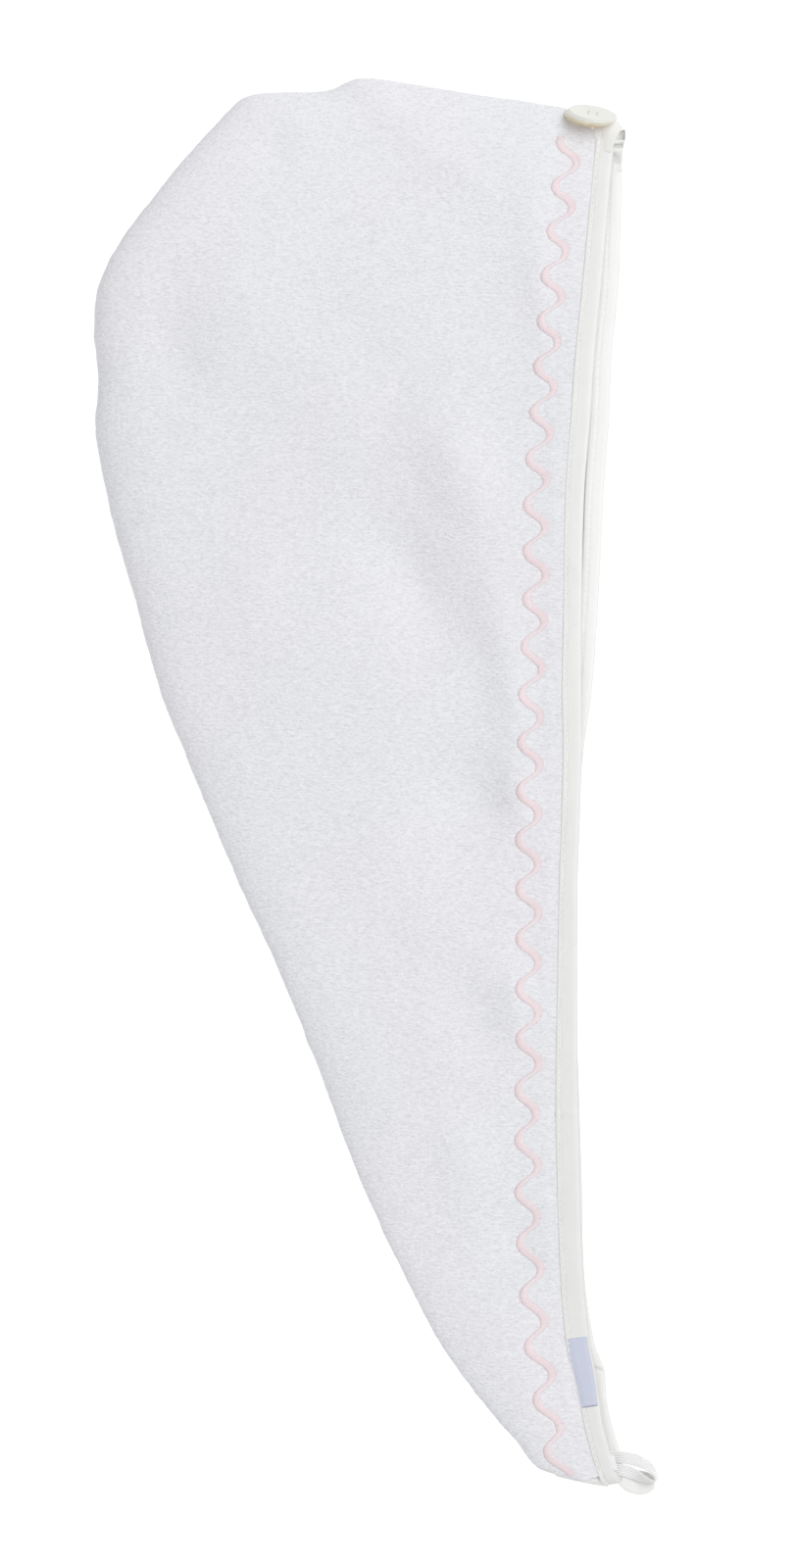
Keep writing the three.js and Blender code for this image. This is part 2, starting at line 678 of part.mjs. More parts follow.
// Thread through the four holes, gathered behind the button into the shank.
function buttonThread() {
  const frame = placeButton(new THREE.Object3D());
  frame.updateMatrixWorld();
  const root = frame.worldToLocal(shankRoot.clone());
  const face = buttonRimHeight - buttonDish + clearance + threadDiameter / 2;
  const back = -buttonDome - clearance - shankDiameter / 2;
  const gather = new THREE.Vector3(0, back, 0);
  let solid = rod(root, gather, shankDiameter, 10);
  holePlaces.forEach((place) => {
    solid = solid.add(rod(atHeight(place, back), atHeight(place, face), threadDiameter, 8));
    solid = solid.add(rod(atHeight(place, back), gather, threadDiameter, 8));
  });
  [[0, 1], [2, 3]].forEach(([from, to]) => {
    const start = atHeight(holePlaces[from], face);
    const end = atHeight(holePlaces[to], face);
    solid = solid.add(rod(start, end, threadDiameter, 8));
  });
  return placeButton(piece('button_thread', fromSolid(solid), cloth(0xefece2, 0.7)));
}

const group = new THREE.Group();
group.add(front, backPanel(), binding(), wave(), label());
group.add(elasticLoop(), tapeTab(), button(), buttonThread());

// The origin is the middle of the whole towel, on the surface that it lies on.
const bounds = new THREE.Box3().setFromObject(group, true);
const middle = bounds.getCenter(new THREE.Vector3());
group.position.set(-middle.x, -middle.y, -bounds.min.z);

export default group;
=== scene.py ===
"""A hooded hair towel lying flat, dressed for its picture. Lengths are millimetres until a mesh is made."""

import math

import bpy
import numpy as np
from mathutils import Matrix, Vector
from mathutils.bvhtree import BVHTree
from mathutils.kdtree import KDTree


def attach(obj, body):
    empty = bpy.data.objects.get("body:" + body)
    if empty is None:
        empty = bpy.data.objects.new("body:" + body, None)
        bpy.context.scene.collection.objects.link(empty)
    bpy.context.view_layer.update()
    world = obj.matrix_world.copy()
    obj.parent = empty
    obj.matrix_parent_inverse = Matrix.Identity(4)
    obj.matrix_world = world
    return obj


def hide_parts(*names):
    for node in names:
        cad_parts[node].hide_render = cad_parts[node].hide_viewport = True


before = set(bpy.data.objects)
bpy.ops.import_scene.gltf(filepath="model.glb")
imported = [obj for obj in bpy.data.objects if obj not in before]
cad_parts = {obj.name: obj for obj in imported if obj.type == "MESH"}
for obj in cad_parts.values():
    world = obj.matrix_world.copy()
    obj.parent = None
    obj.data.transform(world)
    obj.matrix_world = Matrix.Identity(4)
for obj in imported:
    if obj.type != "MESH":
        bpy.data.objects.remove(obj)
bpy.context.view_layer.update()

MM = 0.001

# Sizes that the solids have too
HOOD_LENGTH = 677.0
HOOD_WIDTH = 252.4
DOME_RISE = 9.2
SEAM_HEIGHT = 9.2
BACK_ROLL = 9.0
ROLL_FULLNESS = 2.2
TERRY = 3.0
BOUND = 2.0
TERRY_STEP = 2.2
CLEAR = 0.3
BINDING_WIDTH = 10.0
BINDING_WALL = 0.9
WAVE_INSET = 21.0
NAPE_PITCH = 21.06
TIP_PITCH = 25.53
WAVE_TURNS = 27.25
LABEL_LENGTH = 33.0
LABEL_DISTANCE = 41.0
ELASTIC_WIDTH = 5.0
ELASTIC_THICK = 1.2
LOOP_REACH = 17.5
LOOP_SPREAD = 5.4
TAB_THICK = 1.0
TAB_REACH = 15.0
HOLE_PLACE = 2.1

# Where the origin lies in the plan of HOOD_WIDTH by HOOD_LENGTH
MIDDLE_X = 135.228
MIDDLE_Y = 338.398

# Sizes in which the dressed towel differs from the solids
FRONT_ROLL = 26.0
MOUTH_GAP = 3.0
WAVE_SWING = 4.6

# Levels and half thicknesses that follow from them
BOUND_HALF = BOUND / 2 + CLEAR + BINDING_WALL
BACK_LEVEL = BOUND_HALF + 0.6
FRONT_LEVEL = BACK_LEVEL + 2 * BOUND_HALF + MOUTH_GAP
FRONT_TOP = FRONT_LEVEL + BOUND_HALF
BACK_TOP = BACK_LEVEL + BOUND_HALF
RING_LEVEL = (FRONT_LEVEL + BACK_LEVEL) / 2
RING_RADIUS = (FRONT_LEVEL - BACK_LEVEL) / 2

# Stitches, folds and edges that only the dressed towel has
STITCH_PITCH = 3.0
SEAM_INSET = 1.7
INNER_SEAM = 6.2
PINCH_PLACE = 58.8
JOINT_PLACE = 0.2675 * HOOD_LENGTH
WAVE_START = -0.1
WAVE_END = 27.43
FOLD_ROLL = 2.8
FOLD_FULLNESS = 2.3
PEN_SLANT = math.radians(20)
SATIN_PITCH = 0.36
SATIN_FULLNESS = 2.4
FACE_EDGE = 8.4

# The photo, in millimetres for each pixel, and the marks that shaders read: painted shade on the tape and on
# the button's back, and pile through the thread
PHOTO_PIXEL = 0.47
PHOTO_ROWS = 1600
SHADE_MARK = "painted_shade"
BACK_SHADE_MARK = "deep"
PILE = "pile"


def table(names, rows):
    """Rows with named columns."""
    return [dict(zip(names.split(), row)) for row in rows]


# Fold lines of the opening: along is a share of HOOD_LENGTH, front and back of HOOD_WIDTH
MOUTH = table("along front back", [
    (0.014, 0.991, 1.006),
    (0.028, 0.979, 0.998),
    (0.049, 0.965, 0.981),
    (0.066, 0.958, 0.973),
    (0.085, 0.951, 0.969),
    (0.104, 0.941, 0.950),
    (0.153, 0.928, 0.931),
    (0.222, 0.922, 0.926),
    (0.292, 0.918, 0.920),
    (0.361, 0.917, 0.914),
    (0.431, 0.918, 0.914),
    (0.486, 0.923, 0.920),
    (0.528, 0.926, 0.931),
    (0.569, 0.925, 0.946),
    (0.639, 0.926, 0.959),
    (0.708, 0.931, 0.968),
    (0.758, 0.942, 0.978),
    (0.803, 0.950, 0.983),
    (0.854, 0.963, 0.996),
    (0.910, 0.976, 1.001),
    (0.955, 0.987, 1.004),
])

# Width of the binding on the front, in shares of BINDING_WIDTH
BINDING = table("along wide", [
    (0.014, 0.88),
    (0.057, 0.92),
    (0.106, 1.12),
    (0.153, 1.09),
    (0.236, 1.10),
    (0.271, 1.08),
    (0.361, 0.95),
    (0.465, 0.88),
    (0.569, 0.93),
    (0.625, 0.87),
    (0.758, 0.94),
    (0.861, 0.91),
    (0.955, 0.87),
])

# Sections from the opening to the outer seam, tip first
SECTIONS = table("seam_across seam_along mouth_along rise", [
    (0.914, 0.007, 0.014, 0.05),
    (0.875, 0.011, 0.028, 0.08),
    (0.838, 0.017, 0.043, 0.12),
    (0.801, 0.035, 0.064, 0.18),
    (0.745, 0.059, 0.090, 0.24),
    (0.663, 0.101, 0.126, 0.28),
    (0.588, 0.153, 0.181, 0.32),
    (0.503, 0.222, 0.257, 0.36),
    (0.432, 0.292, 0.332, 0.42),
    (0.359, 0.361, 0.403, 0.48),
    (0.274, 0.431, 0.476, 0.56),
    (0.196, 0.500, 0.552, 0.66),
    (0.123, 0.569, 0.619, 0.76),
    (0.071, 0.639, 0.678, 0.87),
    (0.030, 0.694, 0.724, 0.95),
    (0.004, 0.747, 0.759, 1.00),
    (0.007, 0.785, 0.781, 1.00),
    (0.000, 0.826, 0.804, 1.00),
    (0.020, 0.865, 0.824, 0.97),
    (0.114, 0.917, 0.843, 0.92),
    (0.235, 0.969, 0.863, 0.84),
    (0.298, 0.988, 0.874, 0.76),
    (0.436, 0.991, 0.888, 0.72),
    (0.505, 1.000, 0.896, 0.76),
    (0.603, 0.996, 0.907, 0.64),
    (0.734, 0.988, 0.921, 0.48),
    (0.815, 0.984, 0.934, 0.30),
    (0.860, 0.981, 0.944, 0.15),
    (0.893, 0.979, 0.955, 0.08),
])

# Dents and swells in the front. Places are shares of HOOD_WIDTH and HOOD_LENGTH, wide and tall
# of HOOD_WIDTH, turn is in degrees, and depth is in millimetres, below 0 for a swell
DENTS = table("across along wide tall turn depth", [
    (0.70, 0.722, 0.070, 0.130, 27, -7.0),
    (0.60, 0.640, 0.075, 0.140, 27, 7.6),
    (0.785, 0.585, 0.048, 0.170, 10, -4.4),
    (0.70, 0.490, 0.085, 0.090, 40, 5.8),
    (0.80, 0.495, 0.040, 0.070, 20, -3.0),
    (0.85, 0.860, 0.042, 0.190, 8, -2.5),
    (0.72, 0.830, 0.100, 0.090, 45, 2.3),
    (0.28, 0.850, 0.110, 0.110, 45, -3.4),
    (0.16, 0.800, 0.060, 0.090, 20, 2.6),
    (0.31, 0.962, 0.040, 0.100, 35, 2.2),
    (0.53, 0.800, 0.080, 0.130, 50, 2.9),
    (0.80, 0.352, 0.046, 0.080, 20, -3.0),
    (0.72, 0.330, 0.050, 0.090, 30, 2.3),
    (0.70, 0.238, 0.045, 0.080, 30, -2.0),
    (0.82, 0.175, 0.050, 0.060, 30, 1.8),
    (0.36, 0.600, 0.110, 0.160, 35, -2.1),
    (0.476, 0.684, 0.190, 0.270, 30, 3.2),
    (0.655, 0.470, 0.130, 0.130, 40, 2.0),
])

# Distance of the wave from the fold, across the hood, in shares of WAVE_INSET
WAVE = table("along inset", [
    (0.014, 1.21),
    (0.110, 1.20),
    (0.155, 1.17),
    (0.200, 1.20),
    (0.240, 1.15),
    (0.266, 1.18),
    (0.302, 1.10),
    (0.350, 1.11),
    (0.408, 1.10),
    (0.487, 1.17),
    (0.555, 1.15),
    (0.590, 1.10),
    (0.645, 1.04),
    (0.682, 1.08),
    (0.748, 1.10),
    (0.804, 1.08),
    (0.868, 1.10),
    (0.900, 1.05),
    (0.955, 1.02),
])

# Middle line of the elastic loop, from its upper end round to its lower end
LOOP = table("out side up lean", [
    (-0.65, -0.04, 1.00, 0),
    (-0.21, -0.04, 1.00, 0),
    (0.11, 0.05, 1.00, 4),
    (0.43, 0.34, 0.94, 20),
    (0.70, 0.87, 0.78, 48),
    (0.86, 1.46, 0.68, 72),
    (0.87, 1.98, 0.66, 80),
    (0.75, 2.16, 0.68, 74),
    (0.51, 1.86, 0.80, 50),
    (0.19, 1.34, 0.94, 16),
    (-0.11, 1.08, 0.98, 4),
    (-0.32, 1.04, 1.00, 0),
    (-0.65, 1.04, 1.00, 0),
])

# Middle line of the tape tab under the loop
TAB = table("out side up broad", [
    (-0.75, -0.20, 1.00, 0.80),
    (-0.30, 0.00, 1.00, 0.86),
    (0.02, 0.20, 0.96, 0.98),
    (0.26, 0.36, 0.66, 1.10),
    (0.52, 0.42, 0.30, 1.16),
    (0.76, 0.42, 0.17, 1.02),
    (0.91, 0.41, 0.15, 0.76),
    (1.00, 0.40, 0.15, 0.44),
])

# The binding folded over beside the button, in millimetres from the middle of the box: its outer edge
# and the edge of the fold that lies over its hollow
NAPE_FOLD = table("y right lap", [
    (294.5, 117.7, 112.3),
    (298.2, 118.0, 112.5),
    (302.9, 118.2, 112.9),
    (305.7, 118.4, 113.5),
    (307.6, 118.8, 114.3),
    (309.5, 119.4, 115.2),
    (312.3, 119.5, 116.6),
    (313.3, 119.4, 117.6),
    (314.2, 119.1, 119.1),
    (315.6, 118.2, 118.2),
    (317.5, 116.8, 116.8),
    (319.4, 115.4, 115.4),
    (321.0, 113.4, 113.4),
])

# Turned profile of the button: radius and height along its axis
BUTTON = table("radius height", [
    (0.0, -2.3),
    (4.5, -2.3),
    (7.6, -2.1),
    (9.6, -1.7),
    (10.9, -1.0),
    (11.7, -0.1),
    (12.1, 0.8),
    (12.2, 1.6),
    (12.0, 2.3),
    (11.6, 2.8),
    (11.3, 2.97),
    (11.0, 3.0),
    (10.0, 2.94),
    (9.0, 2.9),
])

TIP = MOUTH[0]["along"]
NAPE = MOUTH[-1]["along"]
UP = np.array([0.0, 0.0, 1.0])


def column(rows, key, name, at):
    """Smooth value of one column of a table between its rows."""
    at = np.asarray(at, float)
    keys = np.arange(len(rows), dtype=float)
    if key:
        keys = np.array([row[key] for row in rows], float)
    values = np.array([row[name] for row in rows], float)
    low = np.clip(np.searchsorted(keys, at) - 1, 0, len(keys) - 2)
    high = low + 1
    span = keys[high] - keys[low]
    share = np.clip((at - keys[low]) / span, 0, 1)
    before = np.maximum(low - 1, 0)
    after = np.minimum(high + 1, len(keys) - 1)
    low_slope = (values[high] - values[before]) / (keys[high] - keys[before]) * span
    high_slope = (values[after] - values[low]) / (keys[after] - keys[low]) * span
    square = share**2
    cube = share**3
    value = values[low] * (2 * cube - 3 * square + 1) + low_slope * (cube - 2 * square + share)
    return value + values[high] * (3 * square - 2 * cube) + high_slope * (cube - square)


def unit(vectors):
    return vectors / np.maximum(np.linalg.norm(vectors, axis=-1, keepdims=True), 1e-9)


def smooth(value, low, high):
    share = np.clip((value - low) / (high - low), 0, 1)
    return share * share * (3 - 2 * share)


def noise(x, y, size, seed):
    """Smooth noise from -1 to 1 over the plan, in cells of one size."""
    cells = 64
    grid = np.random.default_rng(seed).uniform(-1, 1, (cells, cells))
    turn = seed * 0.7
    across = (x * math.cos(turn) + y * math.sin(turn)) / size + 1000.0
    along = (y * math.cos(turn) - x * math.sin(turn)) / size + 1000.0
    column_low = np.floor(across).astype(int)
    row_low = np.floor(along).astype(int)
    share_x = smooth(across - column_low, 0, 1)
    share_y = smooth(along - row_low, 0, 1)

    def between(row):
        left = grid[row % cells, column_low % cells]
        right = grid[row % cells, (column_low + 1) % cells]
        return left * (1 - share_x) + right * share_x

    return between(row_low) * (1 - share_y) + between(row_low + 1) * share_y


def fold(side, along):
    """Point on a fold line, its direction to the nape and the direction into the cloth."""

    def place(at):
        across = column(MOUTH, "along", side, at) * HOOD_WIDTH - MIDDLE_X
        return np.stack([across, at * HOOD_LENGTH - MIDDLE_Y, np.zeros_like(at)], -1)

    along = np.asarray(along, float)
    ahead = place(np.minimum(along + 0.004, NAPE))
    behind = place(np.maximum(along - 0.004, TIP))
    tangent = unit(ahead - behind)
    inward = np.stack([-tangent[..., 1], tangent[..., 0], np.zeros_like(along)], -1)
    return place(along), tangent, inward


def binding_wide(along):
    return column(BINDING, "along", "wide", along) * BINDING_WIDTH


def add_object(name, data):
    made = bpy.data.objects.new(name, data)
    bpy.context.scene.collection.objects.link(made)
    return made


def add_mesh(name, points, faces, shader):
    """Object from points in millimetres, riding on the towel's one body."""
    mesh = bpy.data.meshes.new(name)
    mesh.from_pydata((np.asarray(points) * MM).tolist(), [], [list(map(int, face)) for face in faces])
    mesh.polygons.foreach_set("use_smooth", [True] * len(mesh.polygons))
    mesh.materials.append(shader)
    mesh.update()
    made = add_object(name, mesh)
    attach(made, "root")
    return made


def grid_faces(rows, columns, start=0, flip=False):
    here = start + np.arange(rows * columns).reshape(rows, columns)
    quads = [here[:-1, :-1], here[:-1, 1:], here[1:, 1:], here[1:, :-1]]
    if flip:
        quads.reverse()
    return np.stack([quad.ravel() for quad in quads], -1)


def rim_of(rows, columns, start=0):
    """Corner numbers of a grid's border, once round."""
    here = start + np.arange(rows * columns).reshape(rows, columns)
    sides = [here[:-1, 0], here[-1, :-1], here[:0:-1, -1], here[0, :0:-1]]
    return np.concatenate(sides)


def ring_faces(rows, columns, closed=False):
    """Faces between rings of points that follow each other."""
    here = np.arange(rows * columns).reshape(rows, columns)
    onward = np.roll(here, -1, 0)
    if not closed:
        here = here[:-1]
        onward = onward[:-1]
    return np.stack([here, np.roll(here, -1, 1), np.roll(onward, -1, 1), onward], -1).reshape(-1, 4)


def add_tube(name, skin, shader):
    """Closed tube from rings of points."""
    rows, columns = skin.shape[:2]
    first = list(range(columns))
    last = list(range((rows - 1) * columns, rows * columns))
    return add_mesh(name, skin.reshape(-1, 3), [*ring_faces(rows, columns), first[::-1], last], shader)


def add_slab(name, upper, lower, shader):
    """Closed slab between two grids of points."""
    rows, columns = upper.shape[:2]
    points = np.concatenate([upper.reshape(-1, 3), lower.reshape(-1, 3)])
    faces = [*grid_faces(rows, columns), *grid_faces(rows, columns, rows * columns, True)]
    rim = rim_of(rows, columns)
    low = rim + rows * columns
    faces.extend(np.stack([rim, np.roll(rim, -1), np.roll(low, -1), low], -1))
    return add_mesh(name, points, faces, shader)


def mark_points(made, name, values):
    """A number at each point, for a shader to read."""
    layer = made.data.attributes.new(name, "FLOAT", "POINT")
    layer.data.foreach_set("value", values.ravel())


# Shaders


class Nodes:
    """Short calls for building one material."""

    def __init__(self, name, color, roughness, **values):
        self.material = bpy.data.materials.new(name)
        self.material.use_nodes = True
        self.tree = self.material.node_tree
        self.shader = self.tree.nodes["Principled BSDF"]
        self.shader.inputs["Base Color"].default_value = (*color, 1)
        self.shader.inputs["Roughness"].default_value = roughness
        for socket, value in values.items():
            self.shader.inputs[socket.replace("_", " ")].default_value = value

    def add(self, kind, links=(), **values):
        node = self.tree.nodes.new(kind)
        for key, value in values.items():
            if key in node.inputs:
                node.inputs[key].default_value = value
            else:
                setattr(node, key, value)
        for socket, source in dict(links).items():
            self.tree.links.new(source, node.inputs[socket])
        return node

    def place(self, scale):
        spot = self.add("ShaderNodeTexCoord")
        mapped = self.add("ShaderNodeMapping", {"Vector": spot.outputs["Object"]}, Scale=scale)
        return mapped.outputs["Vector"]

    def upward(self, low, high):
        spot = self.add("ShaderNodeTexCoord")
        parts = self.add("ShaderNodeSeparateXYZ", {"Vector": spot.outputs["Object"]})
        return self.stretch(parts.outputs["Y"], low * MM, high * MM)

    def marked(self, name):
        return self.add("ShaderNodeAttribute", attribute_name=name).outputs["Fac"]

    def noise(self, scale, detail=2.0):
        node = self.add("ShaderNodeTexNoise", {"Vector": self.place(scale)}, Scale=1.0, Detail=detail)
        return node.outputs["Fac"]

    def cells(self, scale):
        node = self.add("ShaderNodeTexVoronoi", {"Vector": self.place(scale)}, Scale=1.0)
        return node.outputs["Distance"]

    def bands(self, pitch, direction, distortion):
        vector = self.place((pitch, pitch, pitch))
        node = self.add("ShaderNodeTexWave", {"Vector": vector}, Scale=1.0, Distortion=distortion)
        node.bands_direction = direction
        return node.outputs["Fac"]

    def math(self, operation, first, second):
        node = self.add("ShaderNodeMath", operation=operation)
        for socket, value in zip(node.inputs, (first, second)):
            if isinstance(value, (int, float)):
                socket.default_value = value
            else:
                self.tree.links.new(value, socket)
        return node.outputs["Value"]

    def total(self, *terms):
        """Sum of values, each times its weight."""
        parts = [self.math("MULTIPLY", value, weight) for value, weight in terms]
        total = parts[0]
        for part in parts[1:]:
            total = self.math("ADD", total, part)
        return total

    def mix(self, share, dark, light):
        """Blend of two colours, each of them fixed or from another node."""
        node = self.add("ShaderNodeMix", data_type="RGBA")
        self.tree.links.new(share, node.inputs[0])
        for socket, color in ((node.inputs[6], dark), (node.inputs[7], light)):
            if isinstance(color, tuple):
                socket.default_value = (*color, 1)
            else:
                self.tree.links.new(color, socket)
        return node.outputs[2]

    def stretch(self, value, low, high):
        node = self.add("ShaderNodeMapRange", {"Value": value})
        node.inputs["From Min"].default_value = low
        node.inputs["From Max"].default_value = high
        return node.outputs["Result"]

    def paint(self, color):
        self.tree.links.new(color, self.shader.inputs["Base Color"])

    def bump(self, height, strength, distance):
        node = self.add("ShaderNodeBump", {"Height": height}, Strength=strength, Distance=distance * MM)
        self.tree.links.new(node.outputs["Normal"], self.shader.inputs["Normal"])


def terry_shader():
    """Looped pile in short, broken rows across the towel, with a slight tint in wide patches, painted shade
    in the pile's low places and a painted highlight towards the top of the towel.
    """
    sheen = {"Sheen_Weight": 0.08, "Sheen_Roughness": 0.5}
    cloth = Nodes("terry", (0.82, 0.82, 0.85), 0.95, Specular_IOR_Level=0.2, **sheen)
    dashes = cloth.noise((350, 980, 780))
    crumb = cloth.noise((800, 1500, 1300))
    loops = cloth.cells((520, 1050, 800))
    patches = cloth.noise((34, 60, 40))
    height = cloth.total((dashes, 1.0), (crumb, 0.7), (loops, -0.30))
    # Painted shade where the pile is low, and painted light rising towards the top of the towel
    shade = cloth.total((height, 1.0), (patches, 0.08), (cloth.upward(200, 320), 0.14))
    share = cloth.stretch(shade, 0.36, 0.98)
    cool = cloth.mix(share, (0.724, 0.739, 0.768), (0.883, 0.899, 0.922))
    warm = cloth.mix(share, (0.746, 0.739, 0.779), (0.909, 0.899, 0.936))
    cloth.paint(cloth.mix(cloth.stretch(cloth.noise((11, 9, 11)), 0.35, 0.65), cool, warm))
    cloth.bump(height, 0.5, 0.9)
    return cloth.material


def binding_shader():
    """Plain woven tape, darker in its creases and wherever its points carry painted shade; a mark below zero
    paints light.
    """
    tape = Nodes("binding", (0.85, 0.855, 0.835), 0.85, Specular_IOR_Level=0.2)
    warp = tape.bands(1500, "X", 0.4)
    weft = tape.bands(1500, "Y", 0.4)
    slub = tape.noise((90, 90, 90), 3.0)
    height = tape.total((tape.math("MULTIPLY", warp, weft), 1.0), (slub, 0.6))
    # Painted shade from the mark darkens the tape; where the mark is below zero it paints light
    tone = tape.total((tape.stretch(height, 0.1, 1.3), 1.0), (tape.marked(SHADE_MARK), -1.6))
    tape.paint(tape.mix(tape.stretch(tone, -1.6, 1.0), (0.72, 0.725, 0.705), (0.962, 0.964, 0.949)))
    tape.bump(height, 0.35, 0.12)
    return tape.material


def thread_shader(name, dark, light, roughness=0.6, sheen=0.2):
    """Fine twisted thread, with terry pile showing through where it is marked."""
    thread = Nodes(name, light, roughness, Sheen_Weight=sheen, Sheen_Roughness=0.4)
    twist = thread.bands(900, "DIAGONAL", 1.5)
    share = thread.total((twist, 0.5), (thread.noise((60, 60, 60)), 0.5))
    color = thread.mix(thread.stretch(share, 0.2, 0.8), dark, light)
    thread.paint(thread.mix(thread.marked(PILE), color, (0.87, 0.86, 0.88)))
    thread.bump(twist, 0.3, 0.06)
    return thread.material


def label_shader():
    """Close woven label, left bare."""
    label = Nodes("label", (0.60, 0.64, 0.76), 0.6, Sheen_Weight=0.1, Sheen_Roughness=0.4)
    height = label.total((label.bands(2600, "Y", 0.2), 0.7), (label.bands(1300, "X", 0.2), 0.3))
    label.paint(label.mix(height, (0.58, 0.615, 0.745), (0.68, 0.71, 0.83)))
    label.bump(height, 0.3, 0.08)
    return label.material


def resin_shader():
    """Cream resin of the button's face and rim."""
    resin = Nodes("resin", (0.78, 0.78, 0.73), 0.32, Coat_Weight=0.15, Coat_Roughness=0.2)
    cloud = resin.noise((120, 120, 120), 3.0)
    resin.paint(resin.mix(resin.stretch(cloud, 0.3, 0.7), (0.77, 0.77, 0.722), (0.80, 0.797, 0.75)))
    resin.bump(cloud, 0.05, 0.2)
    return resin.material


def amber_shader():
    """Amber resin of the button's back, darker away from its rim, which is painted shade under the button."""
    amber = Nodes("resin_back", (0.62, 0.47, 0.26), 0.25, Coat_Weight=0.4, Coat_Roughness=0.1)
    cloud = amber.noise((90, 90, 90), 3.0)
    # Painted shade: the mark darkens the amber further back, under the button
    share = amber.total((amber.stretch(cloud, 0.3, 0.7), 0.5), (amber.marked(BACK_SHADE_MARK), 1.0))
    amber.paint(amber.mix(amber.stretch(share, 0.1, 1.1), (0.82, 0.77, 0.62), (0.56, 0.40, 0.20)))
    amber.bump(cloud, 0.05, 0.2)
    return amber.material


terry_cloth = terry_shader()
tape_cloth = binding_shader()
white_thread = thread_shader("sewing_thread", (0.90, 0.90, 0.88), (0.97, 0.97, 0.95))
pink_thread = thread_shader(
    "satin_thread", (0.88, 0.735, 0.765), (0.93, 0.82, 0.84), roughness=0.42, sheen=0.12)
cream_thread = thread_shader("button_thread", (0.70, 0.69, 0.65), (0.78, 0.77, 0.73))
elastic_cloth = thread_shader("elastic", (0.81, 0.812, 0.81), (0.95, 0.952, 0.95), roughness=0.65)
label_cloth = label_shader()
label_thread = thread_shader("label_thread", (0.50, 0.53, 0.68), (0.66, 0.69, 0.82))
# Seam thread across the label's end, dark as painted shade
seam_shade_thread = thread_shader("label_seam_shade", (0.20, 0.22, 0.34), (0.30, 0.32, 0.44))
cream_resin = resin_shader()
amber_resin = amber_shader()


# The two panels


def panel_plan(side, index, bare, near, widest, middles, rolls):
    """Grid of a panel in plan: its reach, distances from the fold, roll widths and points."""
    point, tangent, inward = fold(side, column(SECTIONS, None, "mouth_along", index))
    seam = np.stack([
        column(SECTIONS, None, "seam_across", index) * HOOD_WIDTH - MIDDLE_X,
        column(SECTIONS, None, "seam_along", index) * HOOD_LENGTH - MIDDLE_Y,
        np.zeros_like(index)], -1)
    to_seam = seam - point
    reach = (to_seam * inward).sum(-1)
    reach += 0.35 * noise(seam[:, 0], seam[:, 1], 9.0, 41) + 0.2 * noise(seam[:, 0], seam[:, 1], 3.5, 43)
    drift = (to_seam * tangent).sum(-1)[:, None]
    insets, roll = panel_insets(reach, widest, bare, near, middles, rolls)
    share = (np.maximum(insets - bare[:, None], 0) / (reach - bare)[:, None]) ** 2
    points = point[:, None] + inward[:, None] * insets[..., None]
    points = points + tangent[:, None] * (drift * share)[..., None]
    return reach, insets, roll, points


def dent_depth(x, y):
    """Depth of the front's dents, less its swells, at points of the plan."""
    total = np.zeros_like(x)
    for dent in DENTS:
        away_x = x + MIDDLE_X - dent["across"] * HOOD_WIDTH
        away_y = y + MIDDLE_Y - dent["along"] * HOOD_LENGTH
        turn = math.radians(dent["turn"])
        u = (away_x * math.cos(turn) + away_y * math.sin(turn)) / (dent["wide"] * HOOD_WIDTH)
        v = (away_y * math.cos(turn) - away_x * math.sin(turn)) / (dent["tall"] * HOOD_WIDTH)
        total += dent["depth"] * np.exp(-(u * u + v * v))
    return total


def roll_share(distance, width):
    """Height share of a rolled edge at a distance from the seam."""
    share = np.clip(1 - distance / width, 0, 1)
    return (1 - share**ROLL_FULLNESS) ** (1 / ROLL_FULLNESS)


def wave_line(waves):
    """Middle line of the wave at counts of waves from the nape. Its pitch grows to the tip."""
    distance = NAPE_PITCH * waves + (TIP_PITCH - NAPE_PITCH) * waves * waves / (2 * WAVE_TURNS)
    along = NAPE - distance / HOOD_LENGTH
    point, _, _ = fold("front", along)
    inset = column(WAVE, "along", "inset", along) * WAVE_INSET
    turn = 2 * np.pi * waves
    point[..., 0] -= inset + WAVE_SWING * (1.05 * np.cos(turn) - 0.05 * np.cos(3 * turn))
    return point


def panel_insets(reach, widest, start, near, middles, rolls):
    """Distances from the fold of a panel's grid lines, one row for each section."""
    roll = np.minimum(widest, 0.5 * (reach - start - near[-1]))
    flat = np.linspace(0, 1, middles)[None, 1:]
    turn = np.cos(np.linspace(0, np.pi / 2, rolls + 1)[1:])[None, :]
    close = start[:, None] + np.array(near)[None, :]
    inner = close[:, -1:] + (reach - roll - close[:, -1])[:, None] * flat
    outer = reach[:, None] - roll[:, None] * (1 - np.sqrt(1 - turn**2))
    return np.concatenate([close, inner, outer], 1), roll


def outward_normals(points):
    along = np.gradient(points, axis=0)
    across = np.gradient(points, axis=1)
    return unit(np.cross(along, across))


